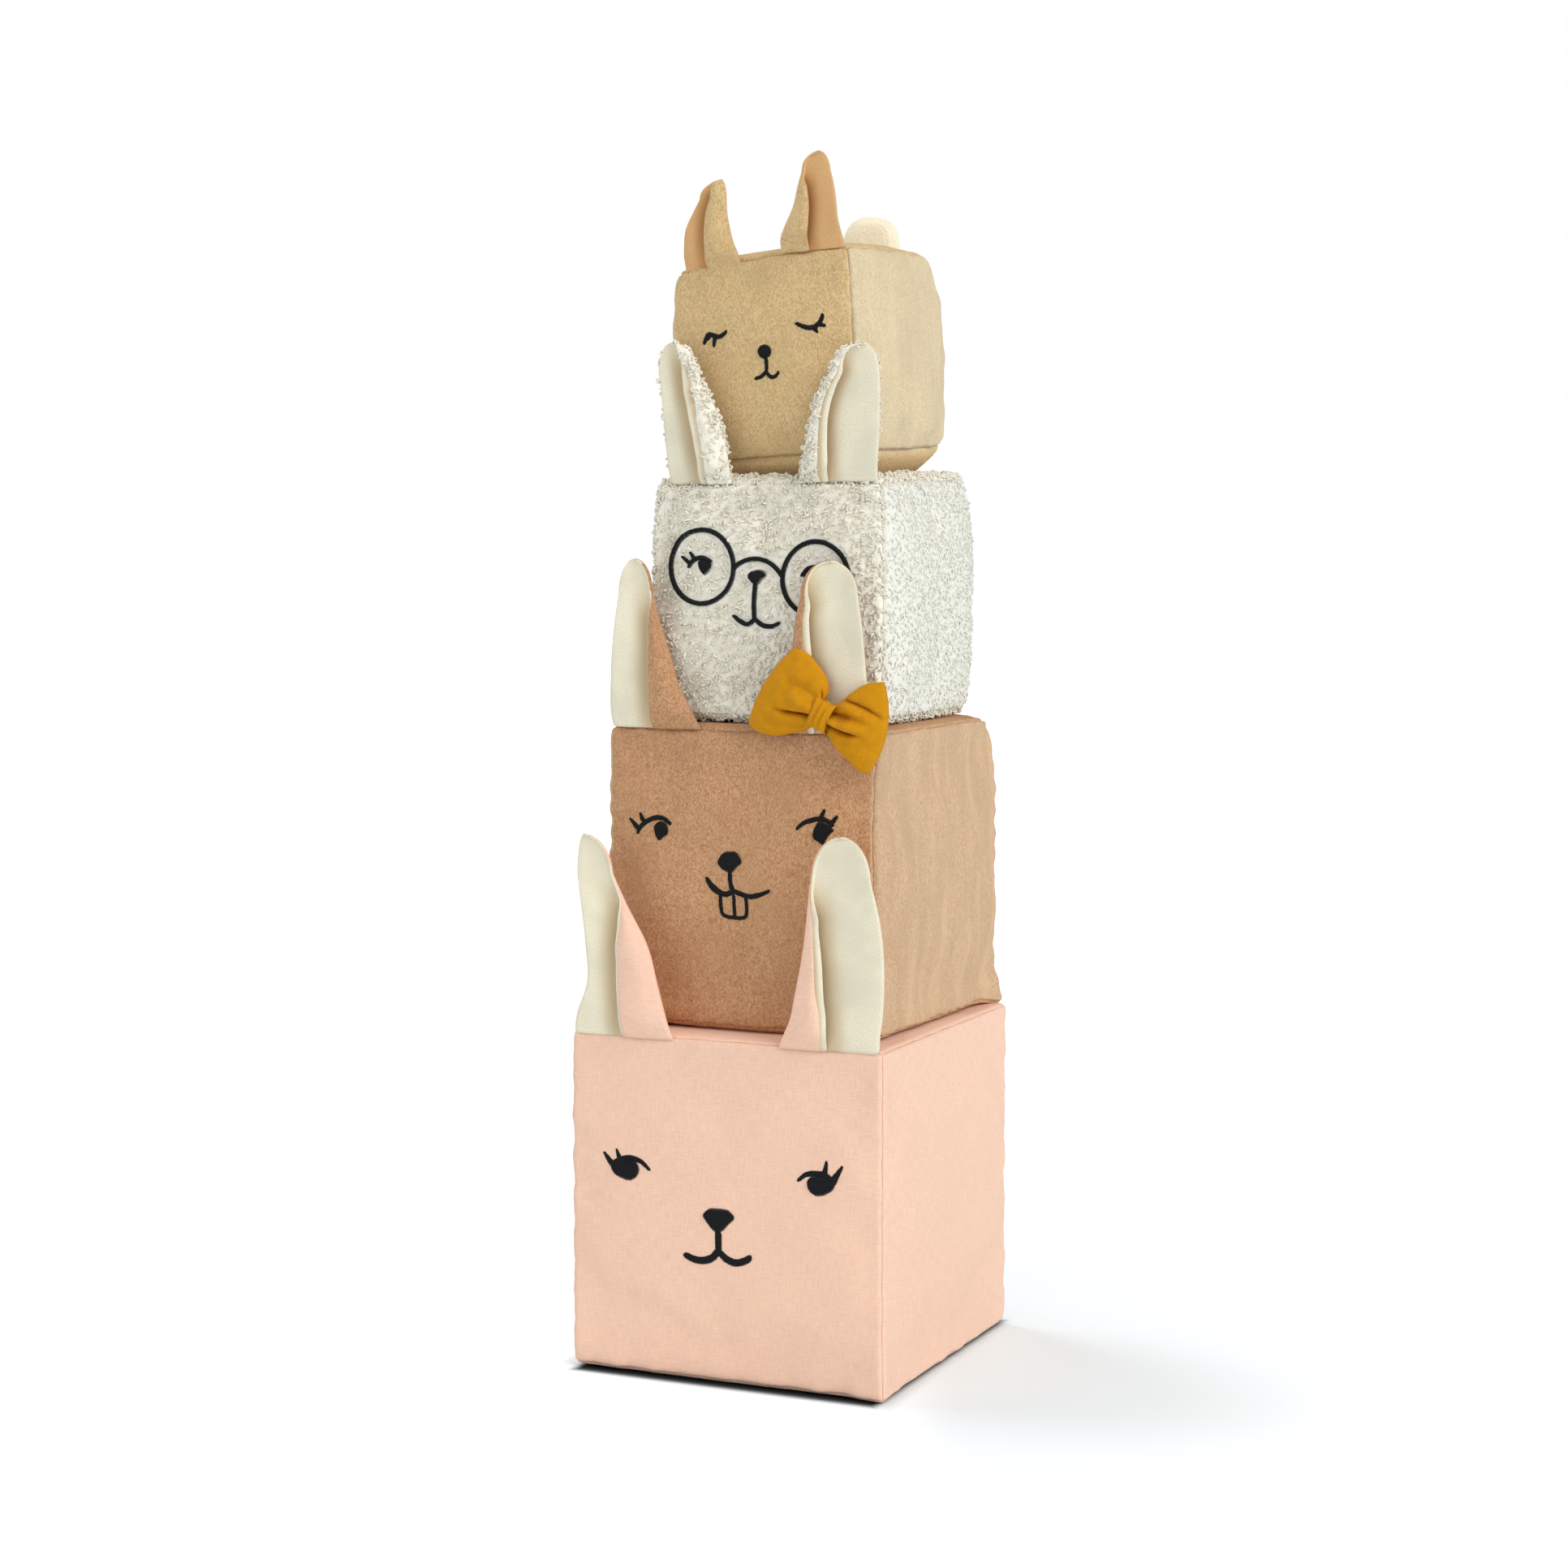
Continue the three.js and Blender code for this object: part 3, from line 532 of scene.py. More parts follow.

# How much of red, green and blue stays in the painted shade deep in the pile and in the painted shade in
# the fold of an ear, and how much faster green and blue fade in the depth of a nap
PILE_SHADE = (0.86, 0.79, 0.7)
HOLLOW_SHADE = (0.66, 0.52, 0.36)
NAP_FADING = (1.0, 1.3, 1.9)

FOAM = 0xF2EEE2
FIBRE = 0xF2F0EC


class Value:
    """A shader socket that adds Math nodes where it is used in a Python expression."""

    def __init__(self, finish, socket):
        self.finish = finish
        self.socket = socket

    def math(self, operation, first, second):
        return self.finish.node("ShaderNodeMath", {0: first, 1: second}, operation=operation)

    def __add__(self, other):
        return self.math("ADD", self, other)

    def __radd__(self, other):
        return self.math("ADD", other, self)

    def __sub__(self, other):
        return self.math("SUBTRACT", self, other)

    def __rsub__(self, other):
        return self.math("SUBTRACT", other, self)

    def __mul__(self, other):
        return self.math("MULTIPLY", self, other)

    def __rmul__(self, other):
        return self.math("MULTIPLY", other, self)

    def greater(self, other):
        """The greater of two values."""
        return self.math("MAXIMUM", self, other)


class Finish:
    """The nodes of a material or of the world, made one at a time."""

    def __init__(self, owner):
        self.owner = owner
        owner.use_nodes = True
        self.tree = owner.node_tree
        self.tree.nodes.clear()

    def node(self, kind, inputs=None, output=0, **settings):
        """Adds a node with its settings, sets or links its sockets, and returns one of its outputs."""
        node = self.tree.nodes.new(kind)
        for key, value in settings.items():
            setattr(node, key, value)
        for key, value in (inputs or {}).items():
            if isinstance(value, Value):
                self.tree.links.new(value.socket, node.inputs[key])
            else:
                node.inputs[key].default_value = value
        return Value(self, node.outputs[output]) if node.outputs else None

    def body(self):
        """Places in the piece as it stands at rest, in metres."""
        return self.node("ShaderNodeTexCoord", output="Object")

    def cloth(self):
        """Places on the cloth laid flat, in metres."""
        return self.node("ShaderNodeUVMap", uv_map=CLOTH_MAP)

    def mixed(self, factor, first, second):
        """One colour over another."""
        inputs = {"Factor": factor, FIRST_COLOUR: first, SECOND_COLOUR: second}
        return self.node("ShaderNodeMix", inputs, MIXED_COLOUR, data_type="RGBA", clamp_factor=True)

    def noise(self, vector, scale, detail, roughness=0.5, output=0):
        """Noise with one scale for all ways."""
        inputs = {"Vector": vector, "Scale": scale, "Detail": detail, "Roughness": roughness}
        return self.node("ShaderNodeTexNoise", inputs, output)

    def grain(self, vector, scales, detail, roughness=0.5):
        """Noise with a scale of its own each way."""
        stretched = self.node("ShaderNodeMapping", {"Vector": vector, "Scale": scales})
        return self.noise(stretched, 1, detail, roughness)

    def bent(self, vector):
        """Places moved by a slow drift of a few millimetres, to bend a pattern with."""
        drift = self.noise(vector, 22, 1, output="Color")
        small = self.node("ShaderNodeMapping", {"Vector": drift, "Scale": (0.014, 0.014, 0.014)})
        return self.node("ShaderNodeVectorMath", {0: vector, 1: small}, operation="ADD")

    def spread(self, value, low, high):
        """A value from 0 at low to 1 at high, smooth between."""
        inputs = {"Value": value, "From Min": low, "From Max": high}
        return self.node("ShaderNodeMapRange", inputs, interpolation_type="SMOOTHSTEP")

    def close(self, base, roughness, height, depth, strength, **constants):
        """The surface shader, over a bump with its depth in millimetres. Constants set more sockets."""
        bump = {"Height": height, "Distance": depth * MM, "Strength": strength}
        inputs = {"Base Color": base, "Roughness": roughness}
        inputs.update({key.replace("_", " "): value for key, value in constants.items()})
        inputs["Normal"] = self.node("ShaderNodeBump", bump)
        surface = self.node("ShaderNodeBsdfPrincipled", inputs)
        self.node("ShaderNodeOutputMaterial", {"Surface": surface})
        return self.owner


def shaded(rgb, share):
    """A colour made darker or lighter."""
    return tuple(min(1.0, part * share) for part in rgb) + (1.0,)


def tinted(rgb, shares):
    """A colour with a share of its own for each of red, green and blue."""
    return tuple(part * share for part, share in zip(rgb, shares)) + (1.0,)


def painted_side_light(finish, rgb, side_lit, start=0.92):
    """The two colours of a cover: the nap looks paler on the sides, where it leans the other way."""
    place = finish.node("ShaderNodeAttribute", output="Vector", attribute_name=UNIT)
    across = finish.node("ShaderNodeSeparateXYZ", {"Vector": place})
    side = finish.spread(across * across, start, 1.0)
    return side, lambda share: finish.mixed(side, shaded(rgb, share), shaded(side_lit, share))


def cotton(name, rgb, side_lit, strength=0.5, sheen=0.1):
    """Plain woven cotton: fine crossing threads with slubs, and a soft mottling."""
    finish = Finish(bpy.data.materials.new(name))
    # The left and right panels take a colour of their own, painted side light
    _, tone = painted_side_light(finish, rgb, side_lit)
    cloth = finish.cloth()
    weft = finish.grain(cloth, (160, 1500, 1), detail=3)
    warp = finish.grain(cloth, (1500, 160, 1), detail=3)
    threads = finish.grain(cloth, (2600, 2600, 1), detail=1)
    mottle = finish.noise(finish.body(), scale=26, detail=2)
    weave = weft * 0.4 + warp * 0.4 + threads * 0.2
    base = finish.mixed(finish.spread(weave, 0.36, 0.64), tone(0.91), tone(1.05))
    base = finish.mixed(finish.spread(mottle, 0.35, 0.7) * 0.25, base, tone(0.94))
    return finish.close(base, roughness=0.88, height=weave, depth=0.3, strength=strength,
                        Sheen_Weight=sheen, Sheen_Roughness=0.5, Specular_IOR_Level=0.25)


def plush(name, rgb, side_lit, grain, streak=0.0):
    """Short velour: a speckled nap that leans in patches, with streaks where it was stroked."""
    finish = Finish(bpy.data.materials.new(name))
    # The left and right panels take a paler colour of their own, painted side light and sheen, with less
    # contrast in the speckle
    side, tone = painted_side_light(finish, rgb, side_lit)
    body = finish.body()
    nap = finish.grain(body, (1250, 1250, 850), detail=2, roughness=0.6)
    tufts = finish.grain(body, (420, 420, 300), detail=3, roughness=0.65)
    patches = finish.noise(body, scale=30, detail=3, roughness=0.6)
    streaks = finish.grain(finish.bent(body), (75, 75, 6), detail=3, roughness=0.6)
    fuzz = nap * 0.75 + tufts * 0.25
    calm = 0.5 + (fuzz - 0.5) * (1 - side * 0.55)
    between = tuple(0.6 * one + 0.4 * other for one, other in zip(rgb, side_lit))
    deep = tinted(rgb, [1 - share * grain for share in NAP_FADING])
    pale = tinted(between, [1 + 0.3 * grain] * 3)
    low = finish.mixed(side, deep, shaded(side_lit, 1 - grain * 1.5))
    high = finish.mixed(side, pale, shaded(side_lit, 1 + grain))
    base = finish.mixed(finish.spread(calm, 0.34, 0.64), low, high)
    base = finish.mixed(finish.spread(patches, 0.44, 0.66) * 0.35, base, tone(0.84))
    base = finish.mixed(finish.spread(streaks, 0.5, 0.66) * side * streak, base, tone(0.8))
    base = finish.mixed(finish.spread(streaks, 0.48, 0.36) * side * streak, base, tone(1.14))
    return finish.close(base, roughness=0.95, height=fuzz, depth=0.9, strength=0.8,
                        Sheen_Weight=0.2, Sheen_Roughness=0.5, Sheen_Tint=shaded(side_lit, 1.1))


def terry(name, rgb, side_lit):
    """Looped pile yarn and the ground cloth under it."""
    finish = Finish(bpy.data.materials.new(name))
    # The left and right panels take a colour of their own, painted side light
    side, tone = painted_side_light(finish, rgb, side_lit, 0.98)
    body = finish.body()
    yarn = finish.noise(body, scale=1400, detail=2, roughness=0.6)
    clumps = finish.noise(body, scale=380, detail=3, roughness=0.65)
    base = finish.mixed(finish.spread(yarn, 0.35, 0.65), tone(0.94), tone(1.03))
    # Painted shade: warm darker clumps at random stand for the shade deep in the pile, fainter on the sides
    deep = finish.spread(clumps, 0.44, 0.62) * (1 - side * 0.85) * 0.5
    base = finish.mixed(deep, base, tinted(rgb, PILE_SHADE))
    return finish.close(base, roughness=0.95, height=yarn, depth=0.3, strength=0.5,
                        Sheen_Weight=0.15, Sheen_Roughness=0.5)


def flannel(name, rgb):
    """Brushed lining cloth with a soft surface, in shade where the ear folds over it."""
    finish = Finish(bpy.data.materials.new(name))
    fuzz = finish.grain(finish.cloth(), (1500, 1100, 1), detail=3, roughness=0.6)
    cloud = finish.noise(finish.body(), scale=45, detail=2)
    hollow = finish.node("ShaderNodeAttribute", output="Fac", attribute_name=PAINTED_FOLD_SHADE)
    base = finish.mixed(finish.spread(fuzz, 0.36, 0.64), shaded(rgb, 0.92), shaded(rgb, 1.05))
    base = finish.mixed(finish.spread(cloud, 0.4, 0.64) * 0.6, base, shaded(rgb, 0.84))
    # Painted shade: a warm darker tint where the ear marks its fold
    base = finish.mixed(hollow * 0.8, base, tinted(rgb, HOLLOW_SHADE))
    return finish.close(base, roughness=0.92, height=fuzz, depth=0.3, strength=0.5,
                        Sheen_Weight=0.15, Sheen_Roughness=0.5)


def thread(name, rgb):
    """Rayon embroidery thread with a soft shine."""
    finish = Finish(bpy.data.materials.new(name))
    ply = finish.noise(finish.body(), scale=2200, detail=2, roughness=0.6)
    base = finish.mixed(finish.spread(ply, 0.35, 0.65), shaded(rgb, 0.6), shaded(rgb, 1.5))
    return finish.close(base, roughness=0.6 + ply * 0.2, height=ply, depth=0.1, strength=0.4,
                        Specular_IOR_Level=0.22)


def sponge(name, rgb, scale):
    """Cut foam or loose fibre, inside the covers."""
    finish = Finish(bpy.data.materials.new(name))
    cells = finish.noise(finish.body(), scale, detail=3, roughness=0.7)
    base = finish.mixed(finish.spread(cells, 0.4, 0.6), shaded(rgb, 0.85), shaded(rgb, 1.04))
    return finish.close(base, roughness=0.95, height=cells, depth=0.8, strength=0.8)


def cover_colours(name):
    """The colours of a block's cover and of its nap where it leans sideways."""
    return tuple(settings_of(name).cover_colour), tuple(settings_of(name).brushed_colour)


def lining_colour(name):
    """The colour of the linings of a block's ears."""
    return tuple(settings_of(name).lining_colour)


def trim_colours(part):
    """A colour of the trim, twice over, for a cloth that looks the same on all sides."""
    return (tuple(getattr(trim(), part + "_colour")),) * 2


FINISHES = {
    "pink_cotton": lambda name: cotton(name, *cover_colours("pink")),
    "brown_plush": lambda name: plush(name, *cover_colours("brown"), grain=0.24, streak=0.5),
    "white_terry": lambda name: terry(name, *cover_colours("white")),
    "tan_plush": lambda name: plush(name, *cover_colours("tan"), grain=0.19, streak=0.25),
    "cream_lining": lambda name: flannel(name, lining_colour("pink")),
    "tan_lining": lambda name: flannel(name, lining_colour("tan")),
    "embroidery_thread": lambda name: thread(name, tuple(trim().thread_colour)),
    "mustard_cotton": lambda name: cotton(name, *trim_colours("bow"), strength=0.7, sheen=0.02),
    "tail_plush": lambda name: plush(name, *trim_colours("tail"), grain=0.06),
    "cut_foam": lambda name: sponge(name, srgb(FOAM), scale=700),
    "polyester_fibre": lambda name: sponge(name, srgb(FIBRE), scale=260),
}


def finish_of(slot):
    """The finish of a material slot, made when it is first asked for."""
    name = slot + "_finish"
    return bpy.data.materials.get(name) or FINISHES[slot](name)


# Shapes


def smooth(value):
    """0 to 1 with soft ends."""
    value = np.clip(value, 0, 1)
    return value * value * (3 - 2 * value)


def waves(points, wavelength, seed, count=7):
    """Soft irregular waves through space, from about -1 to 1."""
    random = np.random.default_rng(seed)
    total = np.zeros(len(points))
    for _ in range(count):
        way = random.normal(size=points.shape[1])
        way *= 2 * math.pi / (wavelength * random.uniform(0.7, 1.6) * np.linalg.norm(way))
        total += np.sin(points @ way + random.uniform(0, 2 * math.pi))
    return total / math.sqrt(count)


def rotation(degrees, axis):
    """A turn about an axis, as a matrix."""
    return Matrix.Rotation(math.radians(degrees), 4, axis)


def unit_rows(rows):
    """Rows of vectors brought to a length of 1."""
    return rows / np.linalg.norm(rows, axis=1, keepdims=True)


def read_rows(items, key, width=3):
    """The vectors that the parts of a mesh hold, one to a row."""
    found = np.zeros(len(items) * width)
    items.foreach_get(key, found)
    return found.reshape(-1, width)


def coordinates(mesh):
    """The places of the vertices of a mesh."""
    return read_rows(mesh.vertices, "co")


def set_coordinates(mesh, points):
    """Moves the vertices of a mesh to new places."""
    mesh.vertices.foreach_set("co", np.asarray(points, float).ravel())
    mesh.update()


def vertex_normals(mesh):
    """The normals of the vertices of a mesh."""
    return read_rows(mesh.vertex_normals, "vector")


def unit_places(mesh):
    """Where each vertex of a cover lies on the unit cube."""
    return read_rows(mesh.attributes[UNIT].data, "vector")


def keep_unit_places(mesh, places):
    """Lets each vertex keep its place on the unit cube."""
    layer = mesh.attributes.new(UNIT, "FLOAT_VECTOR", "POINT")
    layer.data.foreach_set("vector", places.astype(np.float32).ravel())


def add_map(mesh, places):
    """Gives each vertex its place on the flat cloth, in metres."""
    corners = np.zeros(len(mesh.loops), int)
    mesh.loops.foreach_get("vertex_index", corners)
    layer = mesh.uv_layers.new(name=CLOTH_MAP)
    layer.uv.foreach_set("vector", places[corners].astype(np.float32).ravel())


def to_mesh(name, bm):
    """Turns a bmesh into a mesh and frees it."""
    mesh = bpy.data.meshes.new(name)
    bm.to_mesh(mesh)
    bm.free()
    return mesh


def to_object(name, bm):
    """Turns a bmesh into a smooth object in the scene."""
    mesh = to_mesh(name, bm)
    mesh.shade_smooth()
    piece = bpy.data.objects.new(name, mesh)
    bpy.context.scene.collection.objects.link(piece)
    return piece


def flat_grid(name, columns, rows, size=1):
    """A flat grid as an object, from -size to size each way."""
    bm = bmesh.new()
    bmesh.ops.create_grid(bm, x_segments=columns, y_segments=rows, size=size)
    return to_object(name, bm)


def turn_outwards(piece, merged_within=None):
    """Turns the faces of a piece outwards, after any open seams are merged."""
    bm = bmesh.new()
    bm.from_mesh(piece.data)
    if merged_within is not None:
        bmesh.ops.remove_doubles(bm, verts=bm.verts, dist=merged_within)
    bmesh.ops.recalc_face_normals(bm, faces=bm.faces)
    bm.to_mesh(piece.data)
    bm.free()
    piece.data.shade_smooth()


def evaluated(piece):
    """The piece's mesh with its modifiers applied."""
    graph = bpy.context.evaluated_depsgraph_get()
    return bpy.data.meshes.new_from_object(piece.evaluated_get(graph))


def tree_of(name):
    """The surface of a piece, to find places on."""
    return BVHTree.FromObject(bpy.data.objects[name], bpy.context.evaluated_depsgraph_get())


def dress(piece, slot, *nodes):
    """Gives a piece its finish and says which nodes it stands for."""
    piece.data.materials.clear()
    piece.data.materials.append(finish_of(slot))
    if nodes:
        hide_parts(*nodes)
    return piece


def thicken(piece, thickness, offset=-1.0, levels=0):
    """Gives a sheet its thickness, and smooths it."""
    if levels:
        smoother = piece.modifiers.new("smooth", "SUBSURF")
        smoother.levels = levels
        smoother.render_levels = levels
    solid = piece.modifiers.new("thickness", "SOLIDIFY")
    solid.thickness = thickness
    solid.offset = offset


class Block:
    """One block's sizes in millimetres, its place, and the shape of its cover."""

    def __init__(self, name):
        self.name = name
        self.table = BLOCKS[name]
        self.cover_slot, self.lining_slot, self.core_slot = self.table["slots"]
        settings = settings_of(name)
        self.half = np.array([settings.width, settings.depth, settings.height]) / MM / 2
        self.cover = settings.thickness / MM
        turn, lean, tilt = self.table["turned"]
        turned = rotation(turn, "Z") @ rotation(lean, "X") @ rotation(tilt, "Y")
        self.matrix = Matrix.Scale(MM, 4) @ Matrix.Translation(self.table["centre"]) @ turned
        self.body = name + "_block"

    def swell(self, unit, axis):
        """How far the padding moves points of the cover along one axis."""
        side, top, bottom = self.table["crown"]
        along, one, other = unit[:, axis], unit[:, (axis + 1) % 3], unit[:, (axis + 2) % 3]
        crown = np.full(len(unit), float(side)) if axis < 2 else np.where(along > 0, top, bottom)
        power = SIDE_POWER if axis < 2 else np.where(along > 0, TOP_POWER, BOTTOM_POWER)
        bulge = crown * (1 - np.abs(one) ** power) * (1 - np.abs(other) ** power)
        near_one, near_other = np.abs(one) ** EDGE_POWER, np.abs(other) ** EDGE_POWER
        draw = self.table["pull_in"] * (near_one * (1 - other**2) + near_other * (1 - one**2))
        return np.where(crown > 0, np.sign(along) * np.abs(along) ** EDGE_POWER * (bulge - draw), 0)

    def surface(self, unit, inset=0.0):
        """Points of the cover from points of the unit cube: a box with rounded edges and crowned faces."""
        half = self.half - inset
        radius = self.table["radius"] - inset
        on_box = unit * half
        on_core = np.clip(on_box, radius - half, half - radius)
        outward = on_box - on_core
        outward /= np.maximum(np.linalg.norm(outward, axis=1, keepdims=True), TINY)
        points = on_core + radius * outward
        for axis in range(3):
            points[:, axis] += self.swell(unit, axis)
        from_middle = np.max(np.abs(unit[:, :2] * self.half[:2]), axis=1)
        for side, (across, reach, rise) in self.table.get("raised", {}).items():
            beside = smooth((from_middle - across) / reach)
            points[:, 2] += rise * beside * np.clip(unit[:, 2] * side, 0, 1) ** RAISED_POWER
        for signs, moved in self.table.get("drawn", {}).items():
            beside = np.prod((1 + unit[:, :2] * signs) / 2, axis=1) ** DRAWN_ACROSS
            points[:, :2] += np.outer(beside * (1 - unit[:, 2] ** DRAWN_UP), moved)
        for signs, rise in self.table.get("lifted", {}).items():
            points[:, 2] += rise * np.prod((1 + unit * signs) / 2, axis=1)
        for signs, amount in self.table["soft_corners"].items():
            corner = np.array(signs)
            away = np.linalg.norm((unit - corner) * half, axis=1)
            reach = self.table.get("corner_reach", CORNER_REACH)
            inward = amount * np.exp(-((away / reach) ** 2))
            points -= inward[:, None] * corner * CORNER_WAYS / math.sqrt(3)
        return points

    def seams(self, unit):
        """How far points are from the nearest seam, where they are along it, and how far from a corner."""
        away = (1 - np.abs(unit)) * self.half
        order = np.argsort(away, axis=1, kind="stable")
        rows = np.arange(len(unit))
        near, corner = away[rows, order[:, 1]], away[rows, order[:, 2]]
        way = order[:, 2]
        signs = unit > 0
        which = way * 4 + signs[rows, (way + 1) % 3] * 2 + signs[rows, (way + 2) % 3]
        along = (unit * self.half)[rows, way]
        return near, along, corner, which

    def ear_frame(self, side):
        """The place and lean of an ear on the block, as a matrix in millimetres."""
        inset = self.table["ears"][side]["inset"]
        inward = 1 if side == "left" else -1
        straight = self.half[0] - self.table["radius"]
        edge = inward * (inset - self.half[0])
        share = np.clip(edge, -straight, straight) / self.half[0]
        seam = self.surface(np.array([[share, -1.0, 1.0]]))[0]
        place = Matrix.Translation((edge, seam[1] - EAR_DEPTH, seam[2] + SEAM_GAP))
        return place @ rotation(self.table["ears"]["lean"], "X")

    def ear_matrix(self, side):
        """From the millimetres of an ear to the stack."""
        return self.matrix @ self.ear_frame(side)

    def blend_ear(self, piece, side):
        """Lets a piece of an ear bend from the block's body to the ear's over the first millimetres."""
        start = self.ear_matrix(side) @ Vector((0, 0, BEND_START))
        end = start + Vector((0, 0, BEND_LENGTH * MM))
        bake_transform(piece)

    def put(self, piece):
        """Moves a piece from metres about the block's middle to its place in the stack."""
        piece.data.transform(Matrix.Scale(1 / MM, 4))
        piece.data.transform(self.matrix)


def cage(block):
    """The cover as one closed mesh about the block's own middle, with its lines closer together near the
    seams. Each vertex keeps its place on the unit cube, and each face the number of its panel."""
    bm = bmesh.new()
    bmesh.ops.create_cube(bm, size=2)
    bmesh.ops.subdivide_edges(bm, edges=bm.edges[:], cuts=PANEL_STEPS - 1, use_grid_fill=True)
    number = bm.faces.layers.int.new("panel")
    for face in bm.faces:
        centre = face.calc_center_median()
        axis = max(range(3), key=lambda way: abs(centre[way]))
        face[number] = 2 * axis + (centre[axis] > 0)
    piece = to_object(block.name + "_cage", bm)
    unit = coordinates(piece.data)
    unit = np.sign(unit) * (1 - np.maximum(0, 1 - np.abs(unit)) ** block.table["crowding"])
    keep_unit_places(piece.data, unit)
    set_coordinates(piece.data, block.surface(unit, block.table["pile"]) * MM)
    return piece, unit


def add_group(piece, name, chosen):
    """Adds a group of the chosen vertices."""
    group = piece.vertex_groups.new(name=name)
    for place in np.nonzero(chosen)[0]:
        group.add([int(place)], 1.0, "REPLACE")


def start_padding(block, piece, unit):
    """Adds the cloth that the padding will press out. The seams shrink, and what lies flat is held."""
    near, _, _, _ = block.seams(unit)
    add_group(piece, "shrink", near < SHRINK_WIDTH)
    add_group(piece, "hold", (np.abs(unit[:, 2]) > FLAT_PART) & (near > HOLD_ROOM))
    cloth = piece.modifiers.new("padding", "CLOTH").settings
    cloth.quality = 4
    cloth.mass = 0.3
    cloth.tension_stiffness = 15
    cloth.compression_stiffness = 15
    cloth.bending_stiffness = 0.3
    cloth.use_pressure = True
    cloth.uniform_pressure_force = block.table["press"]
    cloth.effector_weights.gravity = 0
    cloth.vertex_group_shrink = "shrink"
    cloth.shrink_min = 0
    cloth.shrink_max = 0.03
    cloth.vertex_group_mass = "hold"


def end_padding(block, piece, unit):
    """Keeps the pressed shape, no point further than the cap from where it was, and less at the seams."""
    start = coordinates(piece.data)
    pressed = evaluated(piece)
    moved = coordinates(pressed) - start
    bpy.data.meshes.remove(pressed)
    piece.modifiers.clear()
    cap = block.table["cap"] * MM
    size = np.maximum(np.linalg.norm(moved, axis=1, keepdims=True), TINY)
    near, _, _, _ = block.seams(unit)
    share = SEAM_MOVE + (1 - SEAM_MOVE) * smooth(near / FREE_AT)[:, None]
    set_coordinates(piece.data, start + moved / size * share * cap * np.tanh(size / cap))


def refine(block, piece):
    """The cover with twice as many lines, and its lumps, puckers and sunk seams."""
    smoother = piece.modifiers.new("smooth", "SUBSURF")
    smoother.levels = 1
    mesh = evaluated(piece)
    piece.modifiers.clear()
    unit = unit_places(mesh)
    points = coordinates(mesh) / MM
    near, along, corner, which = block.seams(unit)
    depth, width = block.table["groove"]
    height, reach, wavelength = block.table["pucker"]
    seed = sorted(BLOCKS).index(block.name) * 10
    line = np.column_stack([along, which * SEAMS_APART, near * PUCKER_SLANT])
    calm = smooth(corner / CORNER_CALM)
    pucker = waves(line, wavelength, seed + 1) * height * np.exp(-near / reach) * calm
    pinch = -np.exp(-corner / PINCH_ALONG) * np.exp(-near / PINCH_IN) * height
    lumps = waves(points, LUMP_LENGTH, seed + 2) * block.table["lumps"] * smooth(near / LUMP_ROOM)
    level = np.where(np.abs(unit[:, 2]) > FLAT_PART, FLAT_SHARE, 1)
    lip = block.table["lip"]
    lip_place, lip_width = SEAM_LIP
    sunk = lip * np.exp(-(((near - lip_place) / lip_width) ** 2)) - depth * np.exp(-((near / width) ** 2))
    out = (pucker + lumps) * level + pinch + sunk
    points += vertex_normals(mesh) * out[:, None]
    set_coordinates(mesh, points * MM)
    return mesh


def panel(block, cover, name):
    """Cuts one panel out of the cover, and gives its size when flat."""
    axis, side = PANELS[name]
    number = 2 * axis + (side > 0)
    bm = bmesh.new()
    bm.from_mesh(cover)
    layer = bm.faces.layers.int["panel"]
    others = [face for face in bm.faces if face[layer] != number]
    bmesh.ops.delete(bm, geom=others, context="FACES")
    piece = to_object("%s_%s_panel_cloth" % (block.name, name), bm)
    ways = [way for way in range(3) if way != axis]
    add_map(piece.data, (unit_places(piece.data) * block.half * MM)[:, ways])
    block.put(piece)
    thicken(piece, block.cover * MM)
    dress(piece, block.cover_slot, "%s_%s_panel" % (block.name, name))
    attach(piece, block.body)
    return piece, tuple(2 * block.half[ways] * MM)


def filling(block, piece):
    """The foam or fibre inside the cover."""
    inward = (block.cover + 2 * SEAM_GAP + block.table["groove"][0]) * MM
    set_coordinates(piece.data, coordinates(piece.data) - vertex_normals(piece.data) * inward)
    block.put(piece)
    node = "%s_%s" % (block.name, block.table["core"])
    piece.name = node + "_padding"
    dress(piece, block.core_slot, node)
    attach(piece, block.body)
    return piece


class SOFTBLOCKS_OT_covers(bpy.types.Operator):
    """Make the six panels of each block's cover and its filling"""

    bl_idname = "softblocks.covers"
    bl_label = "Covers and fillings"

    def execute(self, context):
        blocks = [Block(name) for name in BLOCKS]
        cages = [cage(block) for block in blocks]
        for block, (piece, unit) in zip(blocks, cages):
            start_padding(block, piece, unit)
        for number in range(1, PRESS_FRAMES + 1):
            context.scene.frame_set(number)
        for block, (piece, unit) in zip(blocks, cages):
            end_padding(block, piece, unit)
        context.scene.frame_set(1)
        for block, (piece, _) in zip(blocks, cages):
            cover = refine(block, piece)
            core = filling(block, piece)
            for name in PANELS:
                cloth, flat = panel(block, cover, name)
            bpy.data.meshes.remove(cover)
        return {"FINISHED"}


# Ears

EAR_OUTER = 1.0
EAR_LINING = 0.8
EAR_FOLD = 1.8
EAR_DEPTH = 2 * (EAR_FOLD + SEAM_GAP / 2 + EAR_OUTER)

# Heights of the rows in an ear's table, as shares of its height. Above EAR_ROUND the outer edge and the
# crease run together in a round tip, which takes the last TIP_ROWS of the mesh and closes almost fully.
EAR_HEIGHTS = (0, 0.1, 0.25, 0.45, 0.65, 0.8)
EAR_ROUND = 0.8
TIP_ROWS = 0.3
TIP_CLOSING = 0.97

# The mesh of an ear, with the shares of its columns in the part that stands and in the crease
EAR_COLUMNS = 30
EAR_ROWS = 34
LEAF_SHARE = 0.45
FOLD_SHARE = 0.2

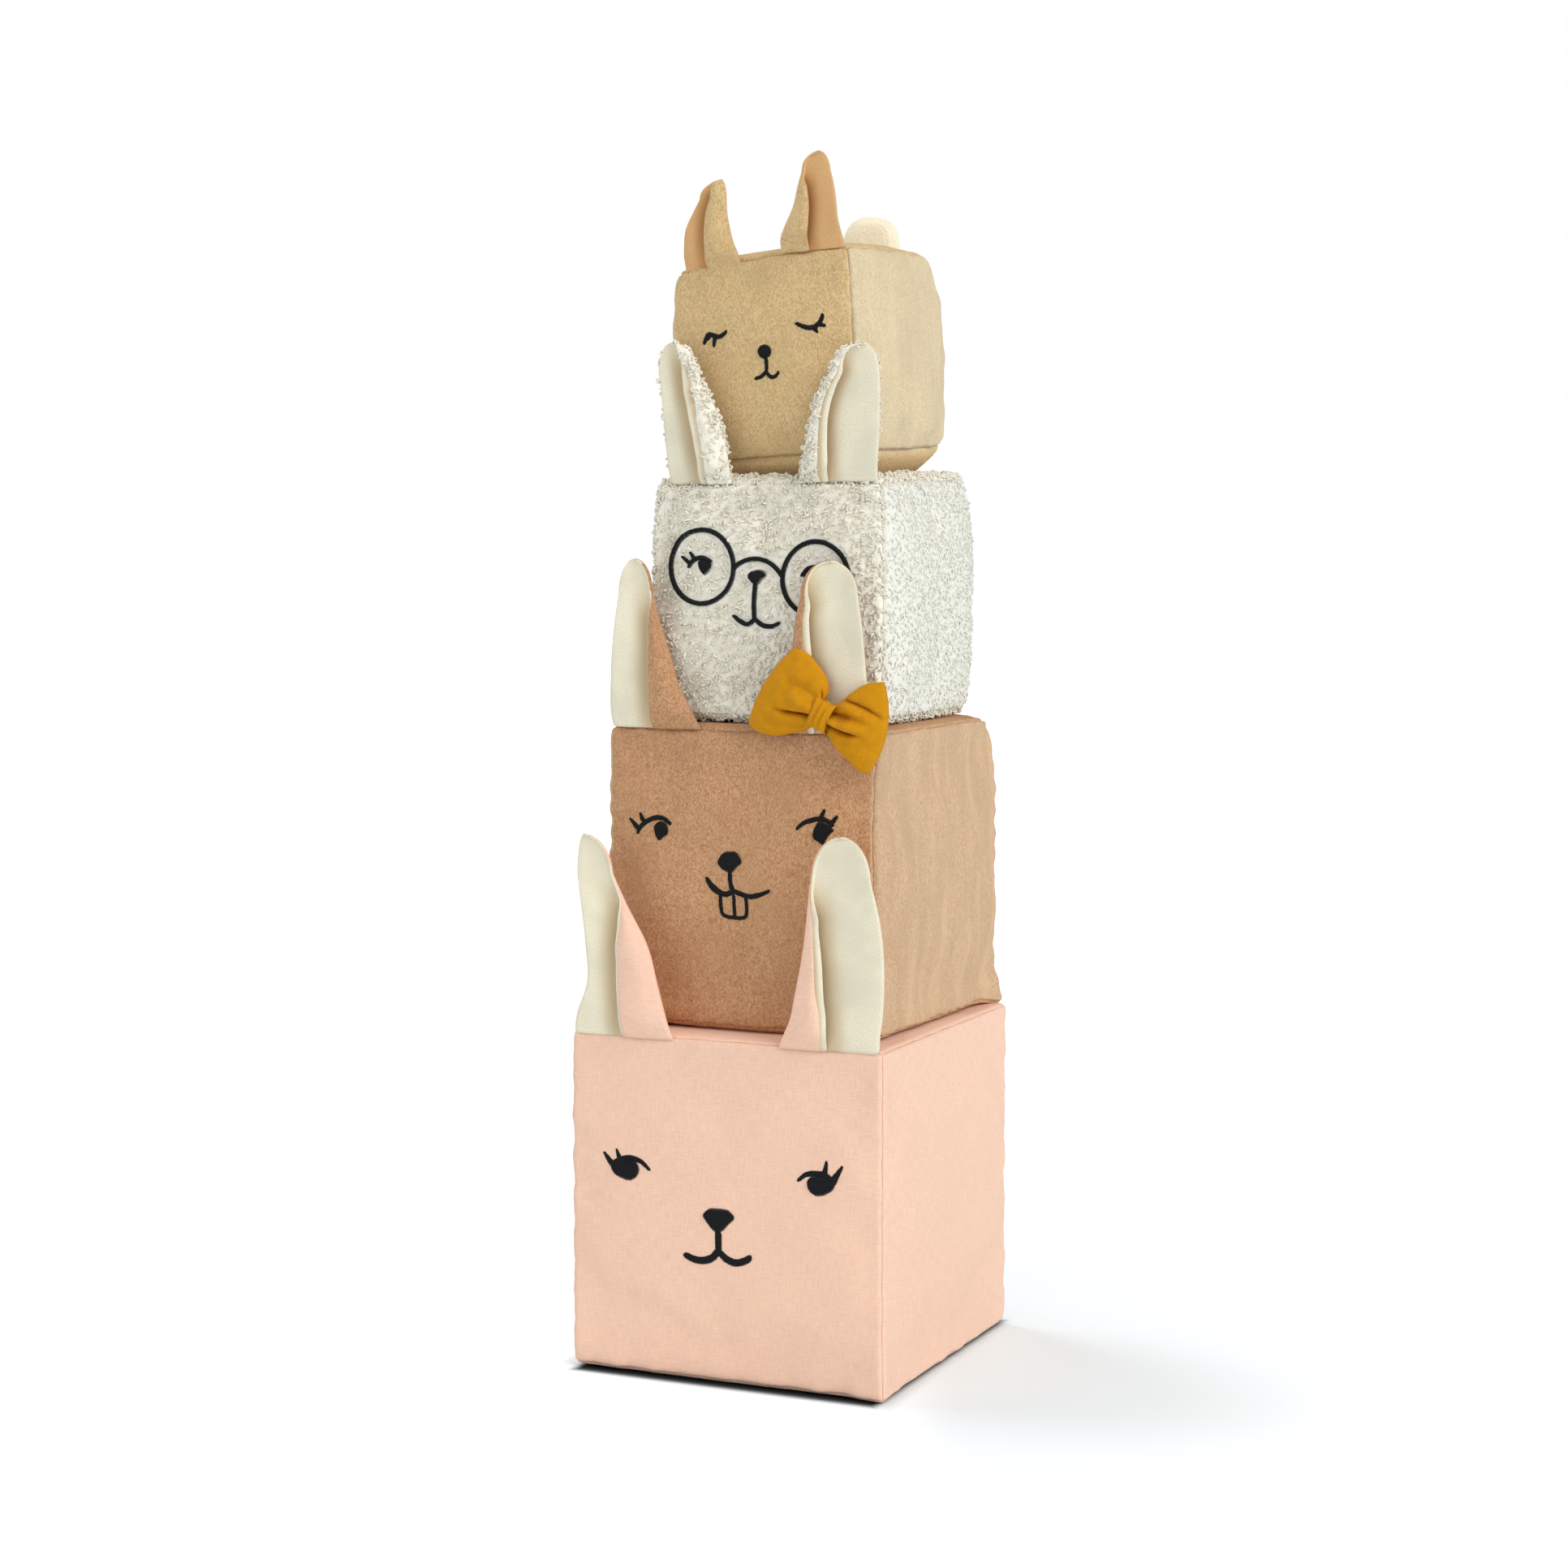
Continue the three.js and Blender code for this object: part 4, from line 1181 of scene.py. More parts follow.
# A flap narrower than FULL_FLAP has not turned over all the way, and turns at least by a share of it. The
# crease is tighter where the ear is narrower than FULL_CREASE. No part is narrower than the least widths.
FULL_FLAP = 4
LEAST_TURN = 0.25
FULL_CREASE = 8
LEAST_CREASE = 0.15
LEAST_FLAP = 0.3
LEAST_LEAF = 0.1
CREASE_INSET = 0.8

# The share of the height at the tip over which the rim fades
RIM_FADE = 0.3

# The outer edge cups back from some way up, and the flap bulges forward, both less where they are narrow
CUP = 2.6
CUP_FROM = 0.25
CUP_WIDTH = 20
FLAP_BULGE = 1.6
FLAP_WIDTH = 10

# The two cloths come together at their edges: how close, and over which width. The crease is no edge, so
# there the nearest one counts as this far away.
EDGE_GAP = 0.35
EDGE_WIDTH = 2.2
EDGE_FAR = 9

# Close to the seam the cloth is tucked under the block's edge, up to a height and by a depth
TUCK_HEIGHT = 8
TUCK_ROOM = 0.4
TUCK_SHARE = 0.8
TUCK_DEPTH = 1.4

# The ear wanders out of its plane in waves
WANDER = 0.7
WANDER_LENGTH = 26
WANDER_FROM = 0.3

# The shade in the fold reaches this far out of it and fades over this much, both as shares of the ear's
# base. It leaves a rim of the flap free and fades towards the tip.
SHADE_REACH = 0.24
SHADE_FADE = 0.2
SHADE_RIM = 1
SHADE_RIM_FADE = 2.5
SHADE_TIP = 0.2


def soft_line(places, values, at):
    """A smooth line through the values of a table."""
    places, values = np.asarray(places, float), np.asarray(values, float)
    slopes = np.gradient(values, places)
    upper = np.clip(np.searchsorted(places, at, side="right"), 1, len(places) - 1)
    lower = upper - 1
    gap = places[upper] - places[lower]
    t = (at - places[lower]) / gap
    ease = (2 * t**3 - 3 * t**2 + 1, t**3 - 2 * t**2 + t, 3 * t**2 - 2 * t**3, t**3 - t**2)
    ends = (values[lower], slopes[lower] * gap, values[upper], slopes[upper] * gap)
    return sum(share * end for share, end in zip(ease, ends))


def ear_outline(ears, ear, height_share, over):
    """The outer edge, the crease and the flap's width up an ear, in millimetres."""
    base = ears["base"]
    outers, creases, flaps = zip(*ear["rows"])
    closing = np.where(over > 0, np.cos(over * math.pi / 2 * TIP_CLOSING), 1)
    low = np.minimum(height_share, EAR_ROUND)
    outer = ear["tip"] + (soft_line(EAR_HEIGHTS, outers, low) - ear["tip"]) * closing
    crease = ear["tip"] + (soft_line(EAR_HEIGHTS, creases, low) - ear["tip"]) * closing
    flap = np.maximum(np.interp(low, EAR_HEIGHTS, flaps) * base * closing, LEAST_FLAP)
    return outer, crease, flap


def ear_layer(block, side, distance):
    """One layer of an ear's cloth, at a distance from its middle line, with its size when flat."""
    ears, ear = block.table["ears"], block.table["ears"][side]
    base, height = ears["base"], getattr(settings_of(block.name), side + "_ear") / MM
    inward = 1 if side == "left" else -1
    kind = "outer" if distance > 0 else "lining"
    piece = flat_grid("%s_%s_ear_%s_cloth" % (block.name, side, kind), EAR_COLUMNS, EAR_ROWS, 0.5)
    grid = coordinates(piece.data) + 0.5
    across, rise = grid[:, 0], grid[:, 1]
    straight = np.minimum(rise / (1 - TIP_ROWS), 1) * EAR_ROUND
    over = np.maximum(rise - (1 - TIP_ROWS), 0) / TIP_ROWS
    up = np.where(over > 0, EAR_ROUND + (1 - EAR_ROUND) * np.sin(over * math.pi / 2), straight)
    outer, crease, flap = ear_outline(ears, ear, up, over)
    folded = np.minimum(flap / FULL_FLAP, 1)
    turned = (LEAST_TURN + (1 - LEAST_TURN) * folded) * math.pi
    radius = EAR_FOLD * np.clip((crease - outer) * base / FULL_CREASE, LEAST_CREASE, 1)
    flap = np.maximum(flap - radius, LEAST_FLAP)
    rim = ear["rim"] * folded * smooth((1 - up) / RIM_FADE)
    visible = rim if kind == "lining" else 0
    flap = np.maximum(flap - rim, LEAST_FLAP) + visible
    centre = crease * base - radius - CREASE_INSET
    start = np.minimum(outer * base, centre - LEAST_LEAF)
    width = centre - start

    # Shares of the way across the standing leaf, round the crease and out along the flap
    leaf = np.clip(across / LEAF_SHARE, 0, 1)
    fold = np.clip((across - LEAF_SHARE) / FOLD_SHARE, 0, 1)
    run = np.clip((across - LEAF_SHARE - FOLD_SHARE) / (1 - LEAF_SHARE - FOLD_SHARE), 0, 1)
    angle = turned * fold
    facing = np.column_stack([np.sin(angle), np.cos(angle)])
    x = start + (centre - start) * leaf + radius * facing[:, 0] + run * flap * facing[:, 1]
    back = radius * facing[:, 1] - run * flap * facing[:, 0]
    cup = CUP * smooth(up / CUP_FROM)
    back -= cup * (1 - leaf) ** 2 * np.clip(width / CUP_WIDTH, 0, 1)
    wide_flap = np.clip(flap / FLAP_WIDTH, 0, 1)
    back -= (FLAP_BULGE * np.sin(math.pi * run) + ears["open"] * run) * wide_flap

    # The layer stands off the middle line, less at the edges
    to_edge = np.maximum((1 - run) * flap - visible, 0) + (run == 0) * EDGE_FAR
    from_edge = np.minimum(np.minimum(leaf * width, to_edge), (1 - up) * height)
    gap = distance * (EDGE_GAP + (1 - EDGE_GAP) * smooth(from_edge / EDGE_WIDTH))
    x = x + gap * facing[:, 0]
    y = EAR_DEPTH / 2 + back + gap * facing[:, 1]
    tuck = smooth(1 - up * height / TUCK_HEIGHT)
    y += (EAR_DEPTH - TUCK_ROOM - y) * tuck * TUCK_SHARE
    wander = waves(np.column_stack([x, up * height]), WANDER_LENGTH, len(block.name) + len(side))
    y += wander * WANDER * smooth(up / WANDER_FROM)
    z = up * height - TUCK_DEPTH * tuck

    # What moves back is also moved along the camera's sight, so that the outline stays as it was fitted
    sight = math.tan(math.radians(CAMERA_YAW)) * (EAR_DEPTH / 2 - y) * (1 - tuck)
    flat = np.column_stack([leaf * width + fold * radius * turned + run * flap, up * height])
    add_map(piece.data, flat * MM)
    # Painted shade in the fold: the lining darkens in the crease, on the flap's inner face back from its
    # free edge, and on the leaf just past that edge
    free_edge = centre - flap
    from_shade = start + width * leaf - free_edge + SHADE_REACH * base
    in_flap = smooth(((1 - run) * flap - SHADE_RIM) / SHADE_RIM_FADE)
    hollow = np.where(run > 0, in_flap, smooth(from_shade / (SHADE_FADE * base)))
    hollow = hollow * folded * smooth((1 - up) / SHADE_TIP)
    layer = piece.data.attributes.new(PAINTED_FOLD_SHADE, "FLOAT", "POINT")
    layer.data.foreach_set("value", hollow.astype(np.float32))
    set_coordinates(piece.data, np.column_stack([inward * x + sight, y, z]))
    piece.data.transform(block.ear_matrix(side))
    if inward < 0:
        piece.data.flip_normals()
    return piece, (flat[:, 0].max() * MM, height * MM)


def cut_area(piece):
    """The area of a cloth as it was cut, from its flat map, in square metres."""
    corners = read_rows(piece.data.uv_layers[CLOTH_MAP].uv, "vector", 2)
    first, second, third, fourth = np.moveaxis(corners.reshape(-1, 4, 2), 1, 0)
    one, other = third - first, fourth - second
    return float(np.abs(one[:, 0] * other[:, 1] - one[:, 1] * other[:, 0]).sum() / 2)


class SOFTBLOCKS_OT_ears(bpy.types.Operator):
    """Make the two cloths of each ear, folded at the crease"""

    bl_idname = "softblocks.ears"
    bl_label = "Ears"

    def execute(self, context):
        for name in BLOCKS:
            block = Block(name)
            layers = (
                ("outer", block.cover_slot, SEAM_GAP / 2 + EAR_OUTER / 2, EAR_OUTER),
                ("lining", block.lining_slot, -SEAM_GAP / 2 - EAR_LINING / 2, EAR_LINING),
            )
            rest = name + "_front_panel_cloth"
            for side in ("left", "right"):
                for kind, slot, distance, thickness in layers:
                    piece, size = ear_layer(block, side, distance)
                    area = cut_area(piece)
                    thicken(piece, thickness * MM, 0, 1)
                    dress(piece, slot, "%s_%s_ear_%s" % (name, side, kind))
                    block.blend_ear(piece, side)
        return {"FINISHED"}


# Embroidery

# Distance between stitches, the sides of a strand, and its rings along the way
STITCH_SPACING = 0.42
STRAND_SIDES = 5
STRAND_RINGS = 6

# Stitches slant across a line, and its rounded ends start at this share of its width
STITCH_SLANT = 0.35
END_WIDTH = 0.25

# A curve is first traced in steps this small, with no fewer points than this
FINE_STEP = 0.1
FEWEST_POINTS = 8

# Points of a ring's outline, and the distance of those on the outline of a spot
RING_POINTS = 20
OUTLINE_STEP = 0.3

# A spot's first and last stitch lie this far in from its outline
FIRST_LEVEL = 0.2
LAST_LEVEL = 0.1

# Places along a stitch where it is laid on the cloth, found from this far in front of it
STITCH_PLACES = 4
IN_FRONT = 30

# A stitch reaches past its outline by so much, more or less, and one of a spot stands higher
STITCH_PAST = {"spot": 0.1, "line": 0.3, "ring": 0.3}
STITCH_RISE = {"spot": 0.25, "line": 0, "ring": 0}
STITCH_JITTER = 0.12
SHORTEST_STITCH = 0.5

# A strand arches over the cloth by a height and a share of its length, up to a length, with its ends sunk
# in, thinner and flatter
ARCH = 0.35
ARCH_SHARE = 0.05
ARCH_LENGTH = 6
SUNK_ENDS = 0.1
THIN_ENDS = 0.45
FLATTENED = 0.8


def strand():
    """A short strand of thread along X, one long and one across, as a mesh to copy."""
    bm = bmesh.new()
    lying = rotation(90, "Y")
    bmesh.ops.create_cone(
        bm, segments=STRAND_SIDES, radius1=1, radius2=1, depth=1, cap_ends=True, matrix=lying
    )
    long_edges = [edge for edge in bm.edges if abs(edge.verts[0].co.x - edge.verts[1].co.x) > 0.5]
    bmesh.ops.subdivide_edges(bm, edges=long_edges, cuts=STRAND_RINGS - 1)
    return to_mesh("strand", bm)


def scattered(name, template, copies):
    """One piece of many copies of a small mesh, each with its own vertex places. The mesh is removed."""
    bm = bmesh.new()
    for points in copies:
        template.vertices.foreach_set("co", points.ravel())
        bm.from_mesh(template)
    bpy.data.meshes.remove(template)
    return to_object(name, bm)


def curve_through(points, step, closed=False):
    """Places at even steps along a smooth curve through points."""
    points = np.asarray(points, float)
    if closed:
        points = np.vstack([points[-2:], points, points[:3]])
    gaps = np.linalg.norm(np.diff(points, axis=0), axis=1)
    marks = np.concatenate([[0], np.cumsum(gaps)])
    first, last = (marks[2], marks[-3]) if closed else (0, marks[-1])
    fine = np.linspace(first, last, max(FEWEST_POINTS, int((last - first) / FINE_STEP)))
    line = np.column_stack([soft_line(marks, points[:, way], fine) for way in range(points.shape[1])])
    run = np.concatenate([[0], np.cumsum(np.linalg.norm(np.diff(line, axis=0), axis=1))])
    count = max(2, int(round(run[-1] / step)) + 1)
    even = np.linspace(0, run[-1], count)
    return np.column_stack([np.interp(even, run, line[:, way]) for way in range(points.shape[1])])


def line_stitches(points, widths, closed=False):
    """The ends of satin stitches across a line."""
    path = curve_through(points, STITCH_SPACING, closed)
    tangent = unit_rows(np.gradient(path, axis=0))
    share = np.linspace(0, 1, len(path))
    width = np.interp(share, np.linspace(0, 1, len(widths)), widths)
    if not closed:
        from_end = np.minimum(share, 1 - share) * (len(path) - 1) * STITCH_SPACING
        width = width * np.sqrt(np.clip(from_end / (width / 2) + END_WIDTH, 0, 1))
    across = unit_rows(np.column_stack([-tangent[:, 1], tangent[:, 0]]) + STITCH_SLANT * tangent)
    return path - across * width[:, None] / 2, path + across * width[:, None] / 2


def spot_stitches(points, angle):
    """The ends of satin stitches that fill an outline."""
    outline = curve_through(points, OUTLINE_STEP, True)
    along = np.array([math.cos(math.radians(angle)), math.sin(math.radians(angle))])
    across = np.array([-along[1], along[0]])
    place, reach = outline @ across, outline @ along
    starts, ends = [], []
    for level in np.arange(place.min() + FIRST_LEVEL, place.max() - LAST_LEVEL, STITCH_SPACING):
        sides = place > level
        cut = np.nonzero(sides != np.roll(sides, -1))[0]
        if len(cut) < 2:
            continue
        after = (cut + 1) % len(place)
        share = (level - place[cut]) / (place[after] - place[cut])
        hits = reach[cut] + share * (reach[after] - reach[cut])
        starts.append(across * level + along * hits.min())
        ends.append(across * level + along * hits.max())
    return np.array(starts), np.array(ends)


def stroke_stitches(kind, value, points):
    """The ends of the stitches of a spot, a ring or a line."""
    if kind == "spot":
        return spot_stitches(points, value)
    if kind == "line":
        return line_stitches(points, value)
    x, z, wide, high = points
    angles = np.linspace(0, 2 * math.pi, RING_POINTS, endpoint=False)
    circle = np.column_stack([x + wide * np.cos(angles), z + high * np.sin(angles)])
    return line_stitches(circle, value, True)


def places_on_front(block, tree, start, end):
    """Places along a stitch on the front of the block, with their normals, in its millimetres."""
    to_block = block.matrix.inverted()
    ray = (block.matrix.to_3x3() @ Vector((0, 1, 0))).normalized()
    places, normals = [], []
    for share in np.linspace(0, 1, STITCH_PLACES):
        x, z = start + (end - start) * share
        origin = block.matrix @ Vector((x, -block.half[1] - IN_FRONT, z))
        place, normal, _, _ = tree.ray_cast(origin, ray)
        if place is None:
            raise RuntimeError("a stitch misses the front of the %s block" % block.name)
        places.append(to_block @ place)
        normals.append((to_block.to_3x3() @ normal).normalized())
    return np.array(places), np.array(normals)


def laid_strand(shape, places, normals, half_width, size, rise):
    """The points of a strand that arches over the cloth from its first place to its last."""
    along, ring = shape[:, 0], shape[:, 1:]
    t = (along + 0.5) * (STITCH_PLACES - 1)
    low = np.clip(np.floor(t).astype(int), 0, STITCH_PLACES - 2)
    part = (t - low)[:, None]
    middle = places[low] * (1 - part) + places[low + 1] * part
    out = normals[low] * (1 - part) + normals[low + 1] * part
    forward = places[-1] - places[0]
    forward /= np.linalg.norm(forward)
    sideways = unit_rows(np.cross(forward, out))
    bow = np.clip(1 - (2 * along) ** 2, 0, 1)
    slim = half_width * (THIN_ENDS + (1 - THIN_ENDS) * bow**0.5)
    height = ARCH + ARCH_SHARE * min(size, ARCH_LENGTH)
    arch = bow**0.5 * height + rise * bow**0.3 - SUNK_ENDS
    points = middle + out * (arch + ring[:, 1] * slim * FLATTENED)[:, None]
    return points + sideways * (ring[:, 0] * slim)[:, None]


def lay_stitches(block, name, strokes, tree):
    """The strands of one embroidered part, laid on the front of the block."""
    template = strand()
    shape = coordinates(template)
    random = np.random.default_rng(len(name) * 31 + len(block.name))
    half_width = trim().thread_width / MM / 2
    copies = []
    for kind, value, points in strokes:
        starts, ends = stroke_stitches(kind, value, points)
        jitter = random.uniform(-STITCH_JITTER, STITCH_JITTER, size=(len(starts), 2))
        past = STITCH_PAST[kind]
        rise = STITCH_RISE[kind] + block.table["sewn_over"]
        for start, end, shake in zip(starts, ends, jitter):
            way = end - start
            size = max(np.linalg.norm(way), SHORTEST_STITCH)
            way = way / size
            start, end = start - way * (past + shake[0]), end + way * (past + shake[1])
            places, normals = places_on_front(block, tree, start, end)
            copies.append(laid_strand(shape, places, normals, half_width, size, rise))
    piece = scattered("%s_%s_stitches" % (block.name, name), template, copies)
    turn_outwards(piece)
    piece.data.transform(block.matrix)
    return piece


class SOFTBLOCKS_OT_faces(bpy.types.Operator):
    """Embroider the faces in satin stitch"""

    bl_idname = "softblocks.faces"
    bl_label = "Embroidered faces"

    def execute(self, context):
        for name, parts in FACES.items():
            block = Block(name)
            tree = tree_of(name + "_front_panel_cloth")
            for part, strokes in parts.items():
                piece = lay_stitches(block, part, strokes, tree)
                dress(piece, "embroidery_thread", "%s_%s" % (name, part))
                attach(piece, block.body)
        return {"FINISHED"}


# Terry pile

# A loop's radius, the radius of its yarn, and the cloth that one loop covers, in square millimetres
LOOP_RADIUS = 0.95
LOOP_YARN = 0.45
LOOP_STEPS = 5
LOOP_AREA = 4.4

# The pile leaves this much room at the stitches. This close to the seams it thins out to a share, and on
# the ears it leaves the cloth bare where the lining is this close.
STITCH_ROOM = 1.5
SEAM_ROOM = 1.0
SEAM_SHARE = 0.35
LINING_ROOM = 1.5

# The pile is pressed flat as far out as this on the top, and on the bottom: how far it sinks, and the share
# of its height that it keeps
PRESSED = {"top": 46, "bottom": 52}
PRESSED_SINK = 0.45
PRESSED_RISE = 0.3

# The size and height of the loops on the sides, as shares of those on the front
SIDE_SIZE = 0.85
SIDE_RISE = 0.6

# How far the loops lean each way, how far they sag, how large and how tall they are, and how deep they root
LOOP_LEAN = 0.32
LOOP_SAG = (0, 0, 0.1)
LOOP_SIZES = (0.7, 1.2)
LOOP_HEIGHTS = (1.0, 1.9)
LOOP_ROOT = 0.2
PILE_SEED = 17


def pile_loop():
    """One loop of pile yarn that stands on the cloth, as a mesh to copy."""
    bm = bmesh.new()
    beside = Matrix.Translation((LOOP_RADIUS, 0, 0))
    bmesh.ops.create_circle(bm, segments=3, radius=LOOP_YARN, matrix=beside)
    ring = bm.verts[:] + bm.edges[:]
    bmesh.ops.spin(
        bm, geom=ring, cent=(0, 0, 0), axis=(0, 1, 0), angle=-math.pi, steps=LOOP_STEPS
    )
    bmesh.ops.recalc_face_normals(bm, faces=bm.faces)
    return to_mesh("loop", bm)


def pile_places(mesh, matrix, random, chosen=None):
    """Random places on the chosen faces of a mesh with their normals, in millimetres."""
    points = coordinates(mesh)
    places, normals = [], []
    for face in mesh.polygons:
        if chosen is not None and not chosen(face):
            continue
        count = int(face.area / MM**2 / LOOP_AREA + random.random())
        corners = points[list(face.vertices)]
        for _ in range(count):
            u, v = random.random(2)
            weights = ((1 - u) * (1 - v), u * (1 - v), u * v, (1 - u) * v)
            places.append(sum(corner * weight for corner, weight in zip(corners, weights)))
            normals.append(face.normal)
    inverse = np.array(matrix.inverted())
    places = np.array(places) @ inverse[:3, :3].T + inverse[:3, 3]
    return places, unit_rows(np.array(normals) @ inverse[:3, :3].T)


def lay_pile(name, places, normals, matrix, random, scale=1.0, rise=1.0):
    """Loops of yarn at places on the cloth, each turned, leaned and sized a little differently."""
    template = pile_loop()
    shape = coordinates(template)
    leaned = unit_rows(normals + random.normal(size=normals.shape) * LOOP_LEAN - LOOP_SAG)
    along = unit_rows(np.cross(leaned, random.normal(size=normals.shape)))
    other = np.cross(leaned, along)
    size = random.uniform(*LOOP_SIZES, len(places)) * scale
    tall = random.uniform(*LOOP_HEIGHTS, len(places)) * rise
    copies = []
    for k in range(len(places)):
        loop = shape * size[k]
        points = places[k] + np.outer(loop[:, 0], along[k]) + np.outer(loop[:, 1], other[k])
        copies.append(points + np.outer(loop[:, 2] * tall[k] - LOOP_ROOT, leaned[k]))
    piece = scattered(name, template, copies)
    piece.data.transform(matrix)
    return piece


def panel_pile(block, name, sewn, random):
    """The pile of one panel, bare at the stitches and pressed flat where a block stands on it."""
    cloth = bpy.data.objects["white_%s_panel_cloth" % name]
    places, normals = pile_places(cloth.data, block.matrix, random)
    if name == "front":
        room = [sewn.find(block.matrix @ Vector(place))[2] / MM for place in places]
        kept = np.array(room) > STITCH_ROOM
        places, normals = places[kept], normals[kept]
    from_seam, _, _, _ = block.seams(np.clip(places / block.half, -1, 1))
    kept = (from_seam > SEAM_ROOM) | (random.random(len(places)) < SEAM_SHARE)
    places, normals = places[kept], normals[kept]
    pressed = np.max(np.abs(places[:, :2]), axis=1) < PRESSED.get(name, 0)
    places = places - normals * PRESSED_SINK * pressed[:, None]
    on_side = PANELS[name][0] == 0
    size, rise = (SIDE_SIZE, SIDE_RISE) if on_side else (1, np.where(pressed, PRESSED_RISE, 1))
    piece = lay_pile("white_%s_pile" % name, places, normals, block.matrix, random, size, rise)
    # Loops on the sides are marked, so that they take the cover's painted side light
    keep_unit_places(piece.data, np.tile([float(on_side), 0, 0], len(piece.data.vertices)))
    return piece


def ear_pile(block, side, random):
    """The pile of an ear, where its outer cloth is free of the lining."""
    ear = "white_%s_ear" % side
    lining = tree_of(ear + "_lining_cloth")

    def bare(face):
        return lining.ray_cast(face.center, face.normal, LINING_ROOM * MM)[0] is None

    mesh = evaluated(bpy.data.objects[ear + "_outer_cloth"])
    matrix = block.ear_matrix(side)
    places, normals = pile_places(mesh, matrix, random, bare)
    bpy.data.meshes.remove(mesh)
    return lay_pile(ear + "_pile", places, normals, matrix, random)


class SOFTBLOCKS_OT_pile(bpy.types.Operator):
    """Lay the looped terry pile on the white block and on its ears"""

    bl_idname = "softblocks.pile"
    bl_label = "Terry pile"

    def execute(self, context):
        block = Block("white")
        random = np.random.default_rng(PILE_SEED)
        stitches = [bpy.data.objects["white_%s_stitches" % part] for part in FACES["white"]]
        places = [vertex.co for piece in stitches for vertex in piece.data.vertices]
        sewn = KDTree(len(places))
        for number, place in enumerate(places):
            sewn.insert(place, number)
        sewn.balance()
        for name in PANELS:
            piece = panel_pile(block, name, sewn, random)
            dress(piece, "white_terry")
            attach(piece, block.body)
        for side in ("left", "right"):
            piece = ear_pile(block, side, random)
            dress(piece, "white_terry")
            block.blend_ear(piece, side)
        return {"FINISHED"}


# Bow

# Places in the bow are across and up from its middle, which lies this far across and up the ear
BOW_PLACE = (-24, 0, 7.5)

# The edges of each wing from the knot to its outer end, how far that end bulges, and its creases: where
# along the wing and across it each starts and ends, its depth (below zero for a ridge) and its width
WINGS = {
    -1: {
        "top": ((1.5, 6), (4.3, 11), (3.3, 17), (-0.7, 22.6), (-5.4, 27.4), (-12, 30.2)),
        "bottom": ((-3, -4.2), (-8, -6.4), (-14.8, -8), (-23, -9.2), (-30.6, -7.6), (-35.8, -4.2)),
        "bulge": 3.4,
        "creases": (
            ((0, 0.8), (-0.2, -0.36), 4.2, 1.1),
            ((0, 0.8), (0.06, 0.1), -1.6, 2.2),
            ((0, 0.36), (0.62, 0.8), 2.8, 1.1),
            ((0.3, 0.95), (0.45, 0.3), 1, 2.2),
            ((0.2, 0.9), (-0.75, -0.62), 0.9, 1.8),
        ),
    },
    1: {
        "top": ((6.5, 4.2), (10.3, 5.6), (13.7, 8), (17.9, 11.2), (24.3, 14.6), (31.6, 15.4)),
        "bottom": ((2.5, -5.6), (5.3, -9), (9.4, -14.6), (15, -20), (20, -24.4), (23.4, -25.2)),
        "bulge": 5.2,
        "creases": (
            ((0, 0.8), (-0.36, -0.14), 4.4, 1.1),
            ((0, 0.9), (-0.1, 0.06), -1.8, 1.5),
            ((0.36, 1.1), (1, 0.06), 2.8, 1.2),
            ((0.36, 1), (0.8, -0.02), -0.8, 1.6),
            ((0.12, 0.72), (0.44, 0.24), 2.2, 1.6),
            ((0.15, 0.9), (-0.62, -0.5), 0.8, 2),
        ),
    },
}
BOW_COLUMNS = 90
BOW_ROWS = 130
BOW_CLOTH = 0.6

# Creases start at the knot within this share of the way, and fade over this much at their outer end
CREASE_START = 0.15
CREASE_FADE = 0.45

# The loops swell from the waist outwards, mostly forward. The power squares their upper and lower edges.
LOOP_EDGE_POWER = 0.7
LOOP_END_POWER = 5
WAIST_SWELL = 2.4
WING_SWELL = 5.4
SWELL_REACH = 0.85
SWELL_FRONT = 0.8
SWELL_BACK = 0.2
CREASE_DEPTH = 1.75

# Ripples over the loops: height, wavelength, and how fast they change outwards
RIPPLE = 0.6
RIPPLE_LENGTH = 8
RIPPLE_OUTWARD = 9
RIPPLE_SEED = 5

# The loops stand off the ear, more at the waist
BOW_OFF_EAR = 1.0
WAIST_OFF_EAR = 2.2
WAIST_REACH = 0.2

# The cloth of a wing and of half the way round it, on the flat map, which is in metres
WING_FLAT = 62
ROUND_FLAT = 7

# Points closer than this are merged, in millimetres before a piece is put in place
MERGED = 0.02

# The knot is a band round the waist: its middle, the way that its long side leans, and its half sizes
KNOT_MIDDLE = (2.8, 0.6)
KNOT_LEAN = 25
KNOT_HALF = (5.3, 4.7, 6.9)
KNOT_MIDDLE_DEPTH = 5.2
KNOT_COLUMNS = 40
KNOT_ROWS = 72

# The band is squared by a power and narrower at the front. Its folds have a depth, a pace across it and a
# drift round it, its edges turn under by a depth and a power, and its bumps have a height and a pace.
KNOT_POWER = 0.8
KNOT_WAIST = 0.1
KNOT_FOLDS = (0.55, 10, 0.5)
KNOT_EDGES = (0.9, 4)
KNOT_BUMPS = (0.04, 7)


def wing_places(way, far, row):
    """Places across and up in one wing, from shares of the way out and across it."""
    wing = WINGS[way]
    marks = np.linspace(0, 1, len(wing["top"]))
    edges = []
    for edge in (wing["top"], wing["bottom"]):
        points = np.array(edge, float)
        edges.append(np.column_stack([soft_line(marks, points[:, k], far) for k in (0, 1)]))
    top, bottom = edges
    share = ((row + 1) / 2)[:, None]
    places = bottom + (top - bottom) * share
    end = np.array(wing["top"][-1]) - np.array(wing["bottom"][-1])
    outward = way * np.array([end[1], -end[0]]) / np.linalg.norm(end)
    places += outward * (wing["bulge"] * far**2 * (1 - row**2))[:, None]
    return places, np.linalg.norm(top - bottom, axis=1) / 2


